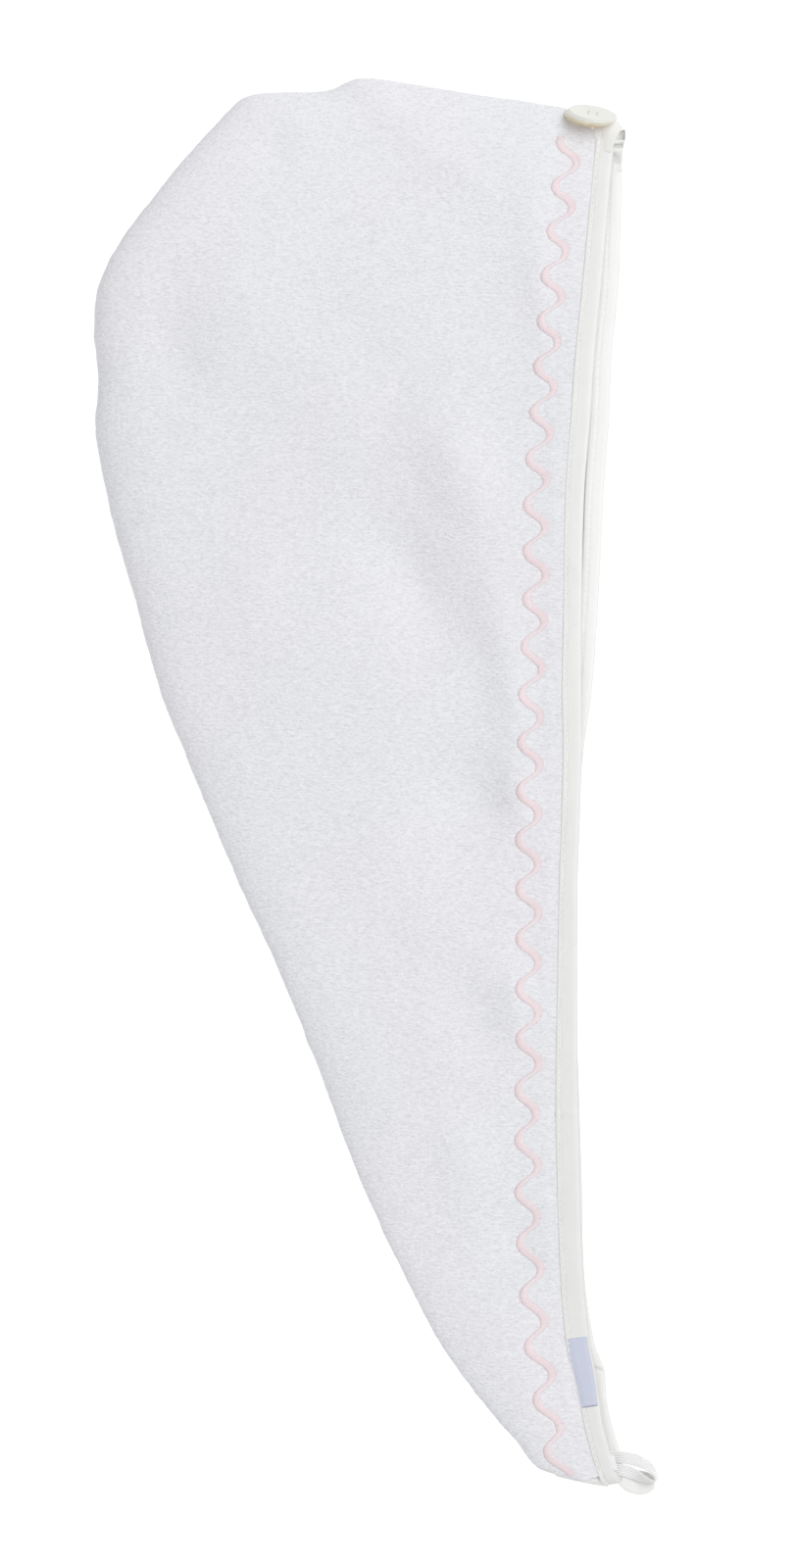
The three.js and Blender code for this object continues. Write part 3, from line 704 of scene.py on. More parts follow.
def panel_mesh(name, outer, ratio, outside, thick, shader):
    """Closed cloth: a fine outer grid, a coarser inner one and a rim between them."""
    rows, columns = outer.shape[:2]
    normals = outward_normals(outer)
    facing = 1 if normals[rows // 2, columns // 3, 2] * outside > 0 else -1
    coarse = (slice(None, None, ratio), slice(None, None, ratio))
    inner = outer[coarse] - normals[coarse] * facing * thick[coarse][..., None]
    inner_rows, inner_columns = inner.shape[:2]
    start = rows * columns
    faces = [grid_faces(rows, columns, 0, facing < 0)]
    faces.append(grid_faces(inner_rows, inner_columns, start, facing > 0))
    fine = rim_of(rows, columns)
    rough = rim_of(inner_rows, inner_columns, start)
    rim = []
    for i, corner in enumerate(rough):
        onward = rough[(i + 1) % len(rough)]
        for step in range(ratio):
            a = fine[i * ratio + step]
            b = fine[(i * ratio + step + 1) % len(fine)]
            rim.append([a, b, corner if step < ratio // 2 else onward])
            if step == ratio // 2 - 1:
                rim.append([b, onward, corner])
    if facing > 0:
        rim = [face[::-1] for face in rim]
    points = np.concatenate([outer.reshape(-1, 3), inner.reshape(-1, 3)])
    return add_mesh(name, points, [*faces[0], *faces[1], *rim], shader)


def near_line(points, line, reach):
    """Distance of each point from a line in plan, as far as a reach."""
    tree = KDTree(len(line))
    for i, spot in enumerate(line):
        tree.insert((spot[0], spot[1], 0), i)
    tree.balance()
    found = np.full(len(points), reach)
    for i, spot in enumerate(points):
        found[i] = min(tree.find((spot[0], spot[1], 0))[2], reach)
    return found


def nape_corner(points, index, insets, bare):
    """Draw the last sections up behind the button."""
    late = smooth(index, len(SECTIONS) - 3.6, len(SECTIONS) - 1)[:, None]
    beside = smooth(insets - bare[:, None], -0.2, 0.2) * (1 - smooth(insets, 16.0, 25.0))
    points[..., 1] += 5.2 * late * beside
    limit = 317.3 - (points[..., 0] - 98.0) * 0.30
    held = (points[..., 0] > 90.5) & (insets > bare[:, None])
    points[..., 1] = np.where(held, np.minimum(points[..., 1], limit), points[..., 1])


def front_panel(sections=600, middles=113, rolls=24):
    """Upper terry panel, domed and dented, with the wave sunk into its pile."""
    index = np.linspace(0, len(SECTIONS) - 1, sections + 1)
    bare = binding_wide(column(SECTIONS, None, "mouth_along", index))
    near = [-6.2, -1.2, -0.7, -0.35, 0.0, 0.4, 1.1, 1.8, 2.7]
    reach, insets, roll, points = panel_plan("front", index, bare, near, FRONT_ROLL, middles, rolls)
    nape_corner(points, index, insets, bare)
    x, y = points[..., 0], points[..., 1]
    full = bare + TERRY_STEP
    rise = column(SECTIONS, None, "rise", index) * DOME_RISE
    crest = smooth(insets, full[:, None], (full + 0.5 * reach)[:, None])
    seam_top = SEAM_HEIGHT + CLEAR / 2
    swell = FRONT_TOP + rise[:, None] * crest
    from_tape = insets - bare[:, None]
    soft = smooth(from_tape, 4, 22)
    dent = dent_depth(x, y) * soft * smooth(reach[:, None] - insets, 4, 30)
    ripple = 0.75 * noise(x, y, 38.0, 3) + 0.30 * noise(x, y, 19.0, 5) + 0.12 * noise(x, y, 8.0, 8)
    body = swell - dent + ripple * (0.25 + 0.75 * soft) * smooth(from_tape, 1, 6)
    rolled = roll_share(reach[:, None] - insets, roll[:, None])
    height = seam_top + (body - seam_top) * rolled
    height = height - 0.75 * (1 - smooth(from_tape, 0.0, 7.0))
    step = smooth(from_tape, -1.2, -0.35)
    height = (FRONT_LEVEL + BOUND / 2) * (1 - step) + height * step
    waves = np.linspace(WAVE_START - 0.05, WAVE_END + 0.02, 2400)
    away = near_line(points.reshape(-1, 3), wave_line(waves), 9.0).reshape(x.shape)
    points[..., 2] = height - 0.45 * np.exp(-((away / 2.8) ** 2)) * step
    thick = np.where(from_tape < 0, BOUND - 0.4, TERRY)
    made = panel_mesh("terry_front", points, ratio=4, outside=1, thick=thick, shader=terry_cloth)
    return made, points


def back_panel(sections=400, middles=49, rolls=20):
    """Lower terry panel, flat where it lies and curled up to the seam."""
    index = np.linspace(0, len(SECTIONS) - 1, sections + 1)
    bare = np.full_like(index, BINDING_WIDTH + 0.2)
    near = [-7.7, -3.5, 0.0, 1.1, 2.2]
    reach, insets, roll, points = panel_plan("back", index, bare, near, BACK_ROLL, middles, rolls)
    seam_top = SEAM_HEIGHT - CLEAR / 2
    curl = seam_top * (1 - roll_share(reach[:, None] - insets, roll[:, None]))
    step = smooth(insets, bare[:, None], bare[:, None] + TERRY_STEP)
    points[..., 2] = (BACK_LEVEL - BOUND / 2) * (1 - step) + curl * step
    crumb = 0.12 * (1 + noise(points[..., 0], points[..., 1], 7.0, 12))
    points[..., 2] += crumb * step
    thick = np.where(insets < bare[:, None] + 1, BOUND - 0.4, TERRY)
    return panel_mesh("terry_back", points, ratio=4, outside=-1, thick=thick, shader=terry_cloth)


front, front_grid = front_panel()
back = back_panel()

front_tree = BVHTree.FromPolygons(
    [Vector(point) for point in front_grid.reshape(-1, 3)],
    grid_faces(*front_grid.shape[:2]).tolist())


def front_height(plan):
    """Height of the front's outer face at a grid of points in plan."""
    found = np.empty(plan.shape[:2])
    for spot in np.ndindex(found.shape):
        hit = front_tree.ray_cast(Vector((*plan[spot], 100)), Vector((0, 0, -1)))[0]
        found[spot] = hit.z if hit is not None else SEAM_HEIGHT
    return found


# The binding


def tape_top(w, wide, seam):
    """Height of the tape's face over its middle plane, at insets from the fold."""
    turned = np.clip(1 - w / FOLD_ROLL, 0, 1)
    height = BOUND_HALF * (1 - turned**FOLD_FULLNESS) ** (1 / FOLD_FULLNESS)
    edge = np.clip(1 - (wide - w) / 0.4, 0, 1)
    height = height - 0.4 * edge**2
    height = height - 0.30 * smooth(w, 3.2, seam) * (1 - 0.4 * smooth(w, seam, seam + 0.5))
    return height - 0.26 * np.exp(-(((w - seam + 0.35) / 0.42) ** 2))


def ring_frames(step):
    """Frames round the opening: point, into the cloth, outward, tape width and the run so far."""
    frames = []

    def edge(side, level, sign, start, end):
        count = int(abs(end - start) * HOOD_LENGTH / step)
        along = np.linspace(start, end, count + 1)
        spot, _, into = fold(side, along)
        spot[:, 2] = level
        outward = np.tile(UP * sign, (count + 1, 1))
        frames.append((spot, into, outward, binding_wide(along), along * HOOD_LENGTH))

    def turn(along, start):
        angle = np.radians(start + np.linspace(0, 180, 20)[1:-1])
        at = np.full_like(angle, along)
        front_spot, front_way, _ = fold("front", at)
        back_spot, back_way, _ = fold("back", at)
        share = ((1 - np.cos(angle)) / 2)[:, None]
        way = unit(front_way + back_way)
        into = np.stack([-way[:, 1], way[:, 0], np.zeros_like(angle)], -1)
        outward = UP * np.cos(angle)[:, None] + way * np.sin(angle)[:, None]
        middle = front_spot * (1 - share) + back_spot * share
        middle[:, 2] = RING_LEVEL
        run = at * HOOD_LENGTH + RING_RADIUS * (angle - angle[0])
        frames.append((middle + outward * RING_RADIUS, into, outward, binding_wide(at), run))

    edge("front", FRONT_LEVEL, 1, TIP, NAPE)
    turn(NAPE, 0)
    edge("back", BACK_LEVEL, -1, NAPE, TIP)
    turn(TIP, 180)
    return [np.concatenate(parts) for parts in zip(*frames)]


def tape_insets(wide):
    """Insets of the tape's face points, from the terry's side to the fold."""
    near = [0.0, 0.1, 0.25, 0.5, 0.9, 1.25, 1.5, 1.7, 1.9, 2.15, 2.45, 2.9]
    fold_side = [6.5, 6.2, 5.9, 5.6, 5.2, 4.6, 3.8, 3.0, 2.4, 1.8, 1.25, 0.8, 0.45, 0.2, 0.06]
    cells = [np.maximum(wide - value, 6.6 + 0.05 * (12 - i)) for i, value in enumerate(near)]
    return np.stack(cells + [np.full_like(wide, value) for value in fold_side], -1)


def binding():
    """Tape folded over the edge all round the opening, creased and pinched, with painted shade at its fold
    edges, in its pinch, between stitches, just past the front's fold and towards the tip, and painted light
    on the back's face.
    """
    points, inward, out, wide, run = ring_frames(step=0.8)
    insets = tape_insets(wide)
    beat = np.cos(2 * np.pi * run / STITCH_PITCH)[:, None]
    slow = noise(run, insets.mean(1), 11.0, 21)[:, None] * 0.16
    slow = slow + 0.07 * noise(run[:, None] + 0 * insets, insets * 2.0, 5.0, 24)
    joint = np.exp(-(((run - JOINT_PLACE) / 1.7) ** 4))[:, None]

    def face(seam):
        height = tape_top(insets, wide[:, None], seam)
        height = height + 0.13 * beat * np.exp(-(((insets - seam) / 1.2) ** 2))
        height = height + slow * np.clip(insets / 4, 0, 1)
        return height + 0.42 * joint * np.clip(insets / 2, 0, 1)

    height = face(wide[:, None] - SEAM_INSET)
    on_back = (out[:, 2] < -0.9)[:, None]
    from_pinch = (run[:, None] - PINCH_PLACE - 0.75 * (insets - 3.0)) / 0.75
    pinch = np.exp(-(from_pinch**2)) * on_back * smooth(insets, 0.2, 1.2)
    inner_height = face(INNER_SEAM) + on_back * 1.3 * smooth(insets, 0.5, 9.0) - 0.9 * pinch
    base = points[:, None]
    top = base + inward[:, None] * insets[..., None] + out[:, None] * height[..., None]
    under = base + inward[:, None] * insets[:, ::-1, None]
    under = under - out[:, None] * inner_height[:, ::-1, None]
    hollow = BOUND_HALF - BINDING_WALL
    below = [(1, -hollow), (0.5, -hollow), (0, 0.3 - hollow)]
    above = [(0, hollow - 0.3), (0.5, hollow), (1, hollow)]
    inner = []
    for share, level in below + above:
        inset = BINDING_WALL + 0.2 + share * (wide - BINDING_WALL - 0.35)
        inner.append(points + inward * inset[:, None] + out * level)
    loop = np.concatenate([top, base, under, np.stack(inner, 1)], 1)
    loop[..., 2] = np.maximum(loop[..., 2], 0.02)
    made = add_mesh("edge_tape", loop.reshape(-1, 3), ring_faces(*loop.shape[:2], closed=True), tape_cloth)

    # Painted shade in the dips between stitches
    def shade_between_stitches(spot, seam):
        return 0.5 * np.clip(-beat, 0, 1) * np.exp(-(((spot - seam) / 0.4) ** 2))

    count = insets.shape[1]
    behind = slice(count + 1, 2 * count + 1)
    # Painted shade along the fold's edge, and a painted shadow on the back tape just past the front's fold
    fold_shade = 0.9 * np.exp(-((insets / 0.40) ** 4))
    seen = loop[:, behind]
    front_line = fold("front", np.clip((seen[..., 1] + MIDDLE_Y) / HOOD_LENGTH, TIP, NAPE))[0]
    past = np.maximum(seen[..., 0] - front_line[..., 0], 0)
    shadow_past_fold = 0.5 * np.exp(-((past / 0.6) ** 2)) * on_back
    # Painted shade on the fold line, in the pinch and darker towards the tip; painted light over the back's
    # face
    tape_shade = np.zeros(loop.shape[:2])
    tape_shade[:, :count] = fold_shade + shade_between_stitches(insets, wide[:, None] - SEAM_INSET)
    tape_shade[:, count] = 0.9
    tape_shade[:, behind] = fold_shade[:, ::-1] + shadow_past_fold + shade_between_stitches(insets[:, ::-1], INNER_SEAM)
    tape_shade[:, behind] += 0.8 * pinch[:, ::-1] - 0.35 * on_back
    tape_shade += 0.34 * (1 - smooth(run / HOOD_LENGTH, 0.12, 0.75))[:, None]
    mark_points(made, SHADE_MARK, tape_shade)
    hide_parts("edge_binding")


def strands(name, paths, radius, sides, shader):
    """One mesh of many short round threads. paths is threads by points by 3."""
    paths = np.asarray(paths, float)
    count, points = paths.shape[:2]
    radius = np.broadcast_to(np.asarray(radius, float), (count, points))
    ahead = unit(np.gradient(paths, axis=1))
    side = unit(np.cross(ahead, UP))
    lift = np.cross(side, ahead)
    angle = 2 * np.pi * np.arange(sides) / sides
    ring = side[:, :, None] * np.cos(angle)[:, None] + lift[:, :, None] * np.sin(angle)[:, None]
    skin = paths[:, :, None] + ring * radius[:, :, None, None]
    first = points * sides * np.arange(count)
    every = (ring_faces(points, sides)[None] + first[:, None, None]).reshape(-1, 4)
    return add_mesh(name, skin.reshape(-1, 3), every, shader)


def stitch_paths(start, end, side_sign, drop):
    """Arched path of one stitch for each pair of ends."""
    shares = np.array([-1.0, -0.8, -0.4, 0.0, 0.4, 0.8, 1.0])
    middle = (start + end) / 2
    half = (end - start) / 2
    path = middle[:, None] + half[:, None] * shares[None, :, None]
    arch = 0.30 * (1 - shares**2) - drop
    path[..., 2] += side_sign * arch[None, :]
    return path


def topstitch():
    """Straight stitches on both faces of the binding, 3 mm apart."""
    along = np.arange(TIP + 0.006, NAPE - 0.004, STITCH_PITCH / HOOD_LENGTH)
    paths = []
    faces = (("front", FRONT_LEVEL, 1, False), ("back", BACK_LEVEL, 1, True), ("back", BACK_LEVEL, -1, False))
    for side, level, sign, within in faces:
        ends = []
        for shift in (-1.1, 1.1):
            at = along + shift / HOOD_LENGTH
            point, _, inward = fold(side, at)
            wide = binding_wide(at)
            inset = np.full_like(wide, INNER_SEAM) if within else wide - SEAM_INSET
            spot = point + inward * inset[:, None]
            spot[:, 2] = level + sign * (tape_top(inset, wide, inset) + 0.10)
            if side == "front":
                down = at * HOOD_LENGTH - LABEL_DISTANCE
                spot[(down > -0.5) & (down < LABEL_LENGTH + 0.5), 2] -= 0.8
            ends.append(spot)
        drop = 0.12 if sign > 0 else 0.16
        paths.append(stitch_paths(ends[0], ends[1], sign, drop))
    made = strands("topstitch", np.concatenate(paths), radius=0.30, sides=6, shader=white_thread)


binding()
topstitch()


# The satin stitch wave


def pen_width(heading):
    """Stroke width as a slanted pen leaves it, with the directions across the line and of the pen."""
    across = np.stack([-heading[:, 1], heading[:, 0]], -1)
    slant = np.array([math.cos(PEN_SLANT), math.sin(PEN_SLANT)])
    return 1.1 + 2.8 * np.abs(across @ slant), across, slant


def satin_wave():
    """Satin stitches laid side by side along the wave, over their padding."""
    rng = np.random.default_rng(11)
    fine = np.linspace(WAVE_START, WAVE_END, 16000)
    line = wave_line(fine)
    run = np.concatenate([[0], np.cumsum(np.linalg.norm(np.diff(line, axis=0), axis=1))])
    marks = np.arange(0.2, run[-1] - 0.2, SATIN_PITCH)
    center = np.stack([np.interp(marks, run, line[:, k]) for k in (0, 1)], -1)
    heading = unit(np.gradient(center, axis=0))
    width, across, slant = pen_width(heading)
    facing = np.sign(across @ slant)
    lay = unit(across * facing[:, None] * 0.6 + slant * 0.4 + rng.normal(0, 0.03, across.shape))
    reach = width / 2 / np.maximum(np.abs((lay * across).sum(1)), 0.5)
    reach = reach * (1 + rng.normal(0, 0.06, len(reach)))
    shares = np.array([-1.0, -0.93, -0.7, -0.25, 0.25, 0.7, 0.93, 1.0])
    plan = center[:, None] + lay[:, None] * (reach[:, None] * shares)[..., None]
    ground = front_height(plan)
    ground = np.minimum(ground, np.median(ground, 1)[:, None] + 0.5)
    bulge = np.sqrt(np.clip(1 - np.abs(shares) ** SATIN_FULLNESS, 0, 1))
    crown = (0.15 + 0.16 * width)[:, None] * bulge[None]
    height = ground + crown - 0.05 + rng.normal(0, 0.03, (len(marks), 1))
    paths = np.concatenate([plan, height[..., None]], -1)
    sides = 5
    made = strands("satin_wave", paths, radius=0.25, sides=sides, shader=pink_thread)
    veil = np.clip(0.75 - 0.25 * width, 0.05, 0.6) + rng.normal(0, 0.08, len(marks))
    veil = veil[:, None, None] + 0.35 * (np.abs(shares) > 0.9)[None, :, None] + np.zeros((1, 1, sides))
    mark_points(made, PILE, np.clip(veil, 0, 1))
    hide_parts("wave_embroidery")
    pad_share = np.array([-0.96, -0.8, -0.4, 0.0, 0.4, 0.8, 0.96])
    skip = slice(None, None, 3)
    pad_plan = center[skip, None] + lay[skip, None] * (reach[skip, None] * pad_share)[..., None]
    pad_ground = front_height(pad_plan)
    pad_bulge = np.sqrt(1 - np.abs(pad_share) ** SATIN_FULLNESS)
    pad_rise = (0.05 + 0.14 * width[skip])[:, None] * pad_bulge[None] - 0.15
    upper = np.concatenate([pad_plan, (pad_ground + pad_rise)[..., None]], -1)
    lower = upper[:, ::-1].copy()
    lower[..., 2] = (pad_ground - 0.5)[:, ::-1]
    tube = np.concatenate([upper, lower], 1)
    pad = add_mesh("satin_padding", tube.reshape(-1, 3), ring_faces(*tube.shape[:2]), pink_thread)


satin_wave()


# The label


def woven_label():
    """Bare label on the front of the tape, with its stitches and the dark line at its end: a seam thread
    whose darkness is painted shade under that end.
    """
    rows = 67
    columns = 19
    along = (LABEL_DISTANCE + LABEL_LENGTH * np.linspace(0, 1, rows)) / HOOD_LENGTH
    point, _, inward = fold("front", along)
    wide = binding_wide(along)
    share = np.linspace(0, 1, columns)
    inset = 0.9 + (wide[:, None] - 1.5) * share[None]
    height = np.maximum(tape_top(inset, wide[:, None], wide[:, None] - SEAM_INSET), 1.9) + 0.26
    height = height + 0.10 * noise(along[:, None] * HOOD_LENGTH, inset, 6.0, 31)
    height = height - 0.22 * np.exp(-((share - 1) / 0.05) ** 2)[None]
    upper = point[:, None] + inward[:, None] * inset[..., None]
    upper[..., 2] = FRONT_LEVEL + height
    lower = upper - UP * 0.45
    made = add_slab("woven_label", upper, lower, label_cloth)
    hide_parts("side_label")
    at = np.arange(1.5, LABEL_LENGTH - 1.0, 2.1)
    paths = []
    for place, shift in ((0.80, 0.0), (0.93, 1.0)):
        line = upper[:, int(place * (columns - 1))]
        here = (at + shift) / LABEL_LENGTH * (rows - 1)
        ends = []
        for step in (-1.1, 1.1):
            up = np.clip(here + step, 0, rows - 1)
            low = np.clip(up.astype(int), 0, rows - 2)
            ends.append(line[low] + (line[low + 1] - line[low]) * (up - low)[:, None] + UP * 0.04)
        paths.append(stitch_paths(ends[0], ends[1], 1, 0.20))
    sewn = strands("label_stitches", np.concatenate(paths), radius=0.17, sides=6, shader=label_thread)
    # Dark thread across the label's end: a seam, with painted shade in its colour
    cross = upper[0, 1:-1] + UP * 0.02
    cross = cross + (upper[1, 1:-1] - upper[0, 1:-1]) * 0.3
    close = strands("label_end", cross[None, ::2], radius=0.20, sides=6, shader=seam_shade_thread)


woven_label()


# The loop and the tab at the tip

outlet = fold("back", TIP)[0]
OUT_WAY = np.array([1.0, 0.0, 0.0])
SIDE_WAY = np.array([0.0, -1.0, 0.0])
TAB_LEVEL = BACK_TOP + CLEAR + TAB_THICK / 2
ELASTIC_LEVEL = TAB_LEVEL + TAB_THICK / 2 + CLEAR + ELASTIC_THICK / 2
FIRST_LEG_RISE = LOOP_SPREAD + ELASTIC_WIDTH / 4 - 0.6


def band_mesh(name, center, across, face, wide, thick, shader, profile):
    """Closed band swept along a line. profile gives the height share over the width."""
    shares = np.linspace(-1, 1, 61)
    rise = profile(shares)
    upper = center[:, None] + across[:, None] * (wide[:, None] / 2 * shares)[..., None]
    upper = upper + face[:, None] * (thick[:, None] / 2 * rise)[..., None]
    lower = center[:, None] + across[:, None] * (wide[:, None] / 2 * shares[::-1])[..., None]
    lower = lower - face[:, None] * (thick[:, None] / 2 * rise[::-1])[..., None]
    tube = np.concatenate([upper, lower], 1)
    rows, columns = tube.shape[:2]
    first = list(range(columns))
    last = list(range((rows - 1) * columns, rows * columns))
    faces = [*ring_faces(rows, columns), first, last[::-1]]
    return add_mesh(name, tube.reshape(-1, 3), faces, shader)


def middle_line(rows, index, reach, spread, level, rise=0.0):
    """Middle line of the loop or the tab by its table, and its direction."""
    out, side, up = [column(rows, None, name, index) for name in ("out", "side", "up")]
    center = outlet + OUT_WAY * (out * reach)[:, None] + SIDE_WAY * (side * spread - rise)[:, None]
    center[:, 2] = up * level
    return center, unit(np.gradient(center, axis=0))


def elastic_loop():
    """Ribbed elastic, turning on edge round its far end."""
    index = np.linspace(0, len(LOOP) - 1, 320)
    center, ahead = middle_line(LOOP, index, LOOP_REACH, LOOP_SPREAD, ELASTIC_LEVEL, FIRST_LEG_RISE)
    outward = unit(np.cross(UP, ahead))
    lean = np.radians(column(LOOP, None, "lean", index))[:, None]
    across = outward * np.cos(lean) - UP * np.sin(lean)
    face = unit(np.cross(ahead, across))

    def ribs(share):
        edge = np.sqrt(np.clip(1 - np.abs(share) ** 6, 0, 1))
        return edge * (0.3 + 0.7 * np.abs(np.cos(share * np.pi * 2.5)) ** 0.6)

    wide = np.full(len(index), ELASTIC_WIDTH + 0.8)
    thick = ELASTIC_THICK * (1 + 0.05 * np.cos(index * 60))
    made = band_mesh("ribbed_loop", center, across, face, wide, thick, elastic_cloth, ribs)
    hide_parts("elastic_loop")


def tape_tab():
    """Smooth end of the tape under the loop."""
    index = np.linspace(0, len(TAB) - 1, 120)
    center, ahead = middle_line(TAB, index, TAB_REACH, TAB_REACH, TAB_LEVEL)
    across = unit(np.cross(UP, ahead))
    face = unit(np.cross(ahead, across))
    wide = column(TAB, None, "broad", index) * BINDING_WIDTH
    fade = smooth(len(TAB) - 1 - index, 0, 0.25)
    wide = wide * (0.35 + 0.65 * fade)
    thick = np.full(len(index), TAB_THICK)
    made = band_mesh(
        "tape_end", center, across, face, wide, thick, tape_cloth,
        lambda share: np.sqrt(np.clip(1 - np.abs(share) ** 5, 0, 1)))
    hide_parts("tape_tab")


def loop_root():
    """Ends of the elastic, pressed flat where they are sewn to the binding."""
    share = np.linspace(0, 1, 24)
    left = np.array([109.6, -321.0])
    right = np.array([114.0, -321.6])
    fall = np.array([1.6, -7.4])
    across = np.linspace(0, 1, 15)
    plan = left + (right - left) * across[None, :, None] + fall * share[:, None, None]
    crown = np.sin(np.pi * np.clip(share, 0.04, 0.96))[:, None] ** 0.4
    side = np.sin(np.pi * np.clip(across, 0.04, 0.96))[None] ** 0.4
    level = FRONT_TOP - 0.5 + 0.75 * crown * side - 1.6 * np.clip(across - 0.6, 0, 1)[None] ** 2
    upper = np.concatenate([plan, level[..., None]], -1)
    lower = upper[:, ::-1] - UP * 0.6
    made = add_tube("loop_root", np.concatenate([upper, lower], 1), elastic_cloth)


def tip_hem():
    """Rolled seam at the tail's tip, from the binding under the terry's lower edge."""
    share = np.linspace(0, 1, 60)
    x = 86.0 + 25.0 * share
    y = -331.2 - 3.0 * share**1.4
    radius = 0.5 + 2.3 * np.sin(np.pi * np.clip(share * 0.62, 0, 1)) ** 0.8
    level = 7.4 - 0.8 * share
    angle = 2 * np.pi * np.arange(20) / 20
    skin = np.stack([
        np.broadcast_to(x[:, None], (60, 20)),
        y[:, None] + radius[:, None] * np.cos(angle)[None],
        level[:, None] + 1.3 * radius[:, None] * np.sin(angle)[None]], -1)
    made = add_tube("tip_hem", skin, tape_cloth)


elastic_loop()
tape_tab()

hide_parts("front_panel")
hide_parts("back_panel")


# The nape: turned-over binding and the button


def nape_fold():
    """Binding folded over beside the button, with the small hollow under its fold; the hollow and the fold's
    left part carry painted shade.
    """
    y = np.linspace(294.5, 321.0, 168)[:, None]
    right = column(NAPE_FOLD, "y", "right", y)
    lap = np.minimum(column(NAPE_FOLD, "y", "lap", y), right) + 1.2 * smooth(y, 313.3, 314.2)
    left = 106.6 - 2.2 * smooth(y, 308.6, 310.2) + 2.2 * smooth(y, 316.5, 318.5)
    x = left + (right - left) * np.linspace(0, 1, 96)[None]
    inside = right - x
    over = FRONT_TOP + 0.8
    low = BACK_TOP + 0.1
    crown = over - 1.3 * np.clip((112.6 - x) / 5.2, 0, 1) ** 1.4
    crown = crown - (over - 8.5) * smooth(y, 307.5, 322.0) * np.clip((x - 109.5) / 9.0, 0, 1) ** 1.3
    foot = 304.4 - 1.5 * np.clip((x - 107.2) / 3.8, 0, 1)
    on_fold = smooth(lap - x, -0.05, 0.4) * smooth(y, foot - 0.35, foot + 0.25) * smooth(x, 107.0, 107.7)
    rounded = np.sqrt(np.clip(1 - np.clip(1 - inside / 1.4, 0, 1) ** 2, 0, 1))
    crown = crown - 3.5 * (1 - rounded) * smooth(y, 312.5, 314.0)
    floor_level = low + 4.0 * smooth(y, 303.0, 305.5)
    band = low + 4.2 * smooth(y, 297.0, 304.6) * (1 - smooth(y, 304.9, 305.6))
    band = band - 0.9 * np.exp(-(((x - 114.2) / 1.6) ** 2) - ((y - 301.4) / 1.5) ** 2)
    from_lip = (y - 308.0 - 0.08 * (x - 115.0)) / 1.0
    lip = floor_level + 2.4 * np.sqrt(np.clip(1 - from_lip**2, 0, 1))
    edge_top = low + 6.4 * smooth(y, 302.5, 308.5)
    edge = edge_top * smooth(inside, -0.02, 0.14) * (1 - smooth(inside, 0.35, 0.75))
    level = np.maximum(np.maximum(floor_level, band), np.maximum(lip, edge))
    past = smooth(y, 313.4, 314.4)
    level = level * smooth(inside, -0.02, 0.5) * (1 - past) + 0.6 * low * past
    level = np.maximum(level, edge)
    beside = (FRONT_TOP - 0.35) * smooth(y, 308.4, 309.2) * (1 - smooth(x, 107.9, 108.4))
    level = np.maximum(level, beside)
    level = level * (1 - on_fold) + crown * on_fold
    level = np.maximum(level + 0.10 * noise(x, y, 2.6, 51), 1.6)
    upper = np.stack([x, np.broadcast_to(y, x.shape), level], -1)
    lower = upper.copy()
    lower[..., 2] = 0.8
    made = add_slab("nape_fold", upper, lower, tape_cloth)
    # Painted shade in the hollow under the fold and over the fold's left part
    deep = np.zeros((2, *x.shape))
    deep[0] = 1.2 * (1 - on_fold) * (1 - smooth(level, low + 4.2, low + 5.0)) * smooth(y, 304.9, 305.5)
    deep[0] += 0.35 * on_fold * (1 - smooth(x, 107.6, 111.5)) * (1 - smooth(y, 310.5, 313.0))
    mark_points(made, SHADE_MARK, deep)


def button_frame():
    """Seat of the button, its axis and two directions across it, and the foot of its shank."""
    at = np.array([NAPE])
    front_spot, front_way, _ = fold("front", at)
    back_spot, back_way, _ = fold("back", at)
    way = unit(front_way + back_way)[0]
    inward = np.array([-way[1], way[0], 0])
    lean = math.radians(62)
    out = UP * math.cos(lean) + way * math.sin(lean)
    share = (1 - math.cos(lean)) / 2
    middle = front_spot[0] * (1 - share) + back_spot[0] * share
    middle[2] = RING_LEVEL
    root = middle + out * (RING_RADIUS + BOUND_HALF + CLEAR + BINDING_WALL) + inward * 0.9 * BINDING_WIDTH
    tilt = math.radians(69)
    turn = math.radians(10)
    axis = np.array([math.sin(turn) * math.sin(tilt), math.cos(turn) * math.sin(tilt), math.cos(tilt)])
    seat = root + axis * 4.4 + inward * 4.0 + UP * 0.6
    high = unit(UP - axis * axis[2])
    return seat, axis, high, np.cross(axis, high), root


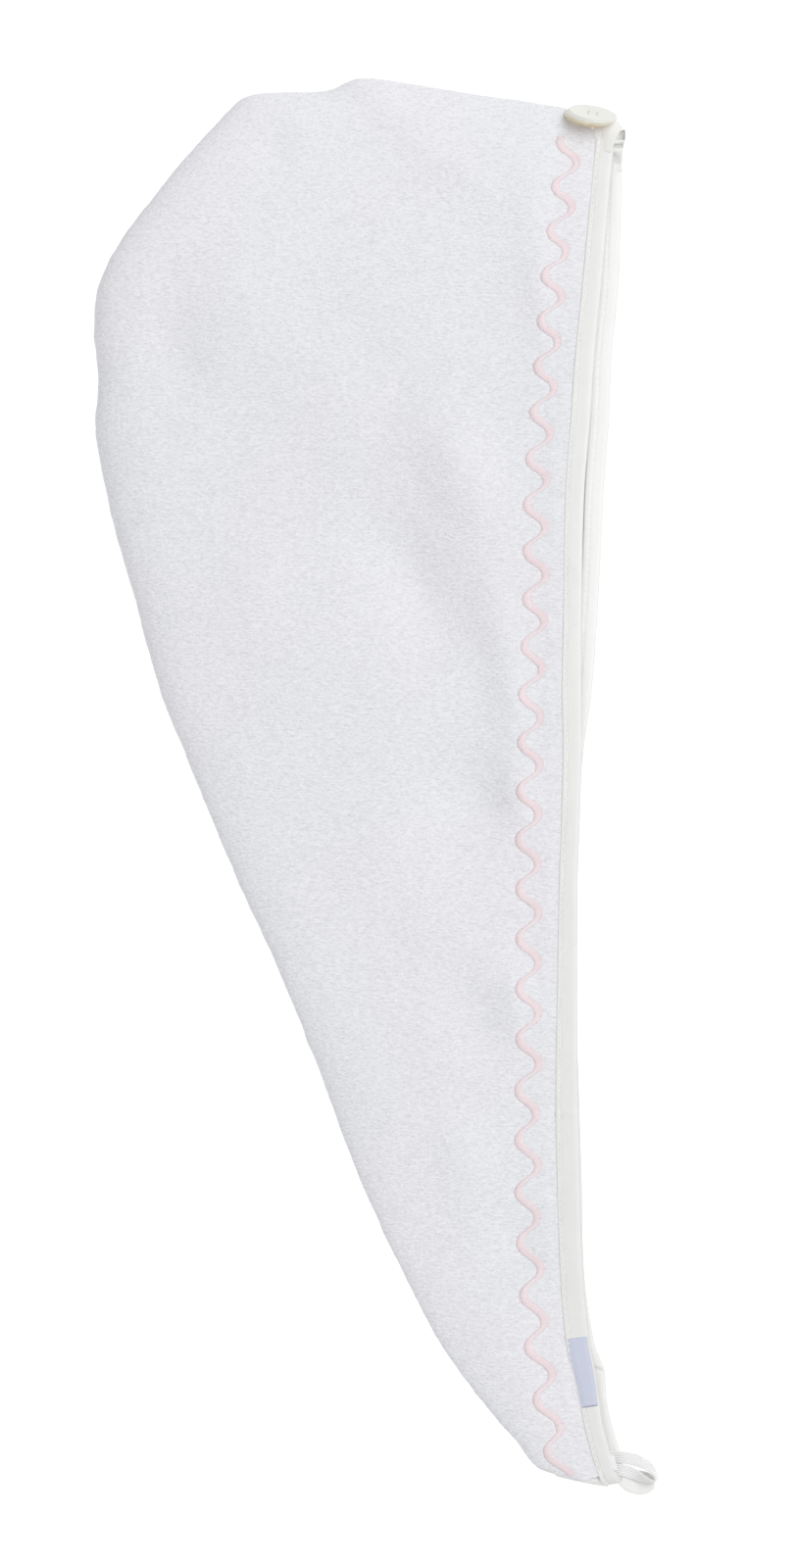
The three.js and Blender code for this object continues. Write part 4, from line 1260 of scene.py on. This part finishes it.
def button():
    """Turned button with four holes, cream in front and amber behind."""
    seat, axis, high, side, root = button_frame()
    rings = 44
    rim = len(BUTTON)
    radius = np.concatenate([[row["radius"] for row in BUTTON], np.linspace(FACE_EDGE, 0.0, rings)])
    height = np.concatenate([[row["height"] for row in BUTTON], np.full(rings, 2.88)])
    height[rim:] -= 0.12 * (1 - (radius[rim:] / FACE_EDGE) ** 2)
    angle = 2 * np.pi * np.arange(128) / 128
    u = radius[:, None] * np.cos(angle)[None]
    v = radius[:, None] * np.sin(angle)[None]
    level = np.broadcast_to(height[:, None], u.shape).copy()
    hole = np.full(u.shape, 9.0)
    for hole_u in (-HOLE_PLACE, HOLE_PLACE):
        for hole_v in (-HOLE_PLACE, HOLE_PLACE):
            hole = np.minimum(hole, np.hypot(u - hole_u, v - hole_v))
    face = np.arange(len(radius))[:, None] >= rim
    level -= np.where(face, 0.5 * (1 - smooth(hole, 0.40, 0.85)), 0)
    drift = 0.2 - 2.0 * (1 - smooth(level, -0.5, 2.9))
    skin = seat + side * (u + drift)[..., None] + high * v[..., None] + axis * level[..., None]
    made = add_mesh("turned_button", skin.reshape(-1, 3), ring_faces(*u.shape), cream_resin)
    made.data.materials.append(amber_resin)
    amber = level[:-1] < 0.9
    made.data.polygons.foreach_set("material_index", (amber & ~face[:-1]).astype(int).ravel())
    # Painted shade, growing towards the button's back
    mark_points(made, BACK_SHADE_MARK, np.clip((0.7 - level) / 2.4, 0, 1))
    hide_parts("button")
    paths = []
    for hole_u in (-HOLE_PLACE, HOLE_PLACE):
        share = np.linspace(-1, 1, 9)
        rise = 2.62 + 0.16 * np.sqrt(1 - share**2)
        for shift in (-0.16, 0.16):
            paths.append(
                seat + high * (HOLE_PLACE * share)[:, None] + side * (hole_u + shift)
                + axis * (rise - 0.9 * (np.abs(share) > 0.95))[:, None])
    for i in range(6):
        spread = 2 * np.pi * i / 6
        foot = root + 0.35 * np.array([math.cos(spread), math.sin(spread), -0.6])
        head = seat - axis * 1.9 + side * 0.8 * math.cos(spread) + high * 0.8 * math.sin(spread)
        share = np.linspace(0, 1, 9)[:, None]
        paths.append(foot * (1 - share) + head * share - UP * 0.3 * np.sin(np.pi * share))
    thread = strands("button_sewing", paths, radius=0.20, sides=7, shader=cream_thread)
    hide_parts("button_thread")


loop_root()
tip_hem()
nape_fold()
button()


# The floor, the lights and the camera


def floor():
    """Bright, even ground under the towel."""
    ground = Nodes("floor", (0.16, 0.16, 0.16), 0.9)
    ground.shader.inputs["Emission Color"].default_value = (1, 1, 1, 1)
    ground.shader.inputs["Emission Strength"].default_value = 0.95
    grain = ground.noise((3, 3, 3))
    ground.paint(ground.mix(grain, (0.15, 0.15, 0.15), (0.17, 0.17, 0.17)))
    mesh = bpy.data.meshes.new("floor")
    reach = 6
    under = -0.0002
    corners = [(-reach, -reach), (reach, -reach), (reach, reach), (-reach, reach)]
    mesh.from_pydata([(x, y, under) for x, y in corners], [], [(0, 1, 2, 3)])
    mesh.materials.append(ground.material)
    made = add_object("floor", mesh)


def soft_light(name, place, size, watts):
    """Round light that points at the towel."""
    lamp = bpy.data.lights.new(name, "AREA")
    lamp.shape = "DISK"
    lamp.size = size
    lamp.energy = watts
    made = add_object(name, lamp)
    made.location = place
    made.rotation_euler = (-Vector(place)).to_track_quat("-Z", "Y").to_euler()


def camera():
    """The photo's view, from straight above."""
    scale = PHOTO_PIXEL * MM
    away = 5.0
    level = 0.008
    lens = bpy.data.cameras.new("camera")
    lens.sensor_fit = "AUTO"
    lens.sensor_width = 36.0
    lens.lens = lens.sensor_width * away / (PHOTO_ROWS * scale)
    made = add_object("camera", lens)
    made.location = (22 * scale, 0.5 * scale, away + level)
    made.rotation_euler = (0, 0, 0)
    lens.clip_start = 0.05
    lens.clip_end = 50
    bpy.context.scene.camera = made


def sky():
    """White light from all round."""
    world = bpy.data.worlds.new("studio")
    world.use_nodes = True
    light = world.node_tree.nodes["Background"].inputs
    light["Color"].default_value = (1, 1, 1, 1)
    light["Strength"].default_value = 0.434
    bpy.context.scene.world = world
    bpy.context.scene.view_settings.view_transform = "Standard"


floor()
soft_light("key", place=(4.2, 3.3, 6.4), size=7.0, watts=394)
soft_light("fill", place=(-2.2, -3.6, 4.4), size=4.6, watts=86)
camera()
sky()
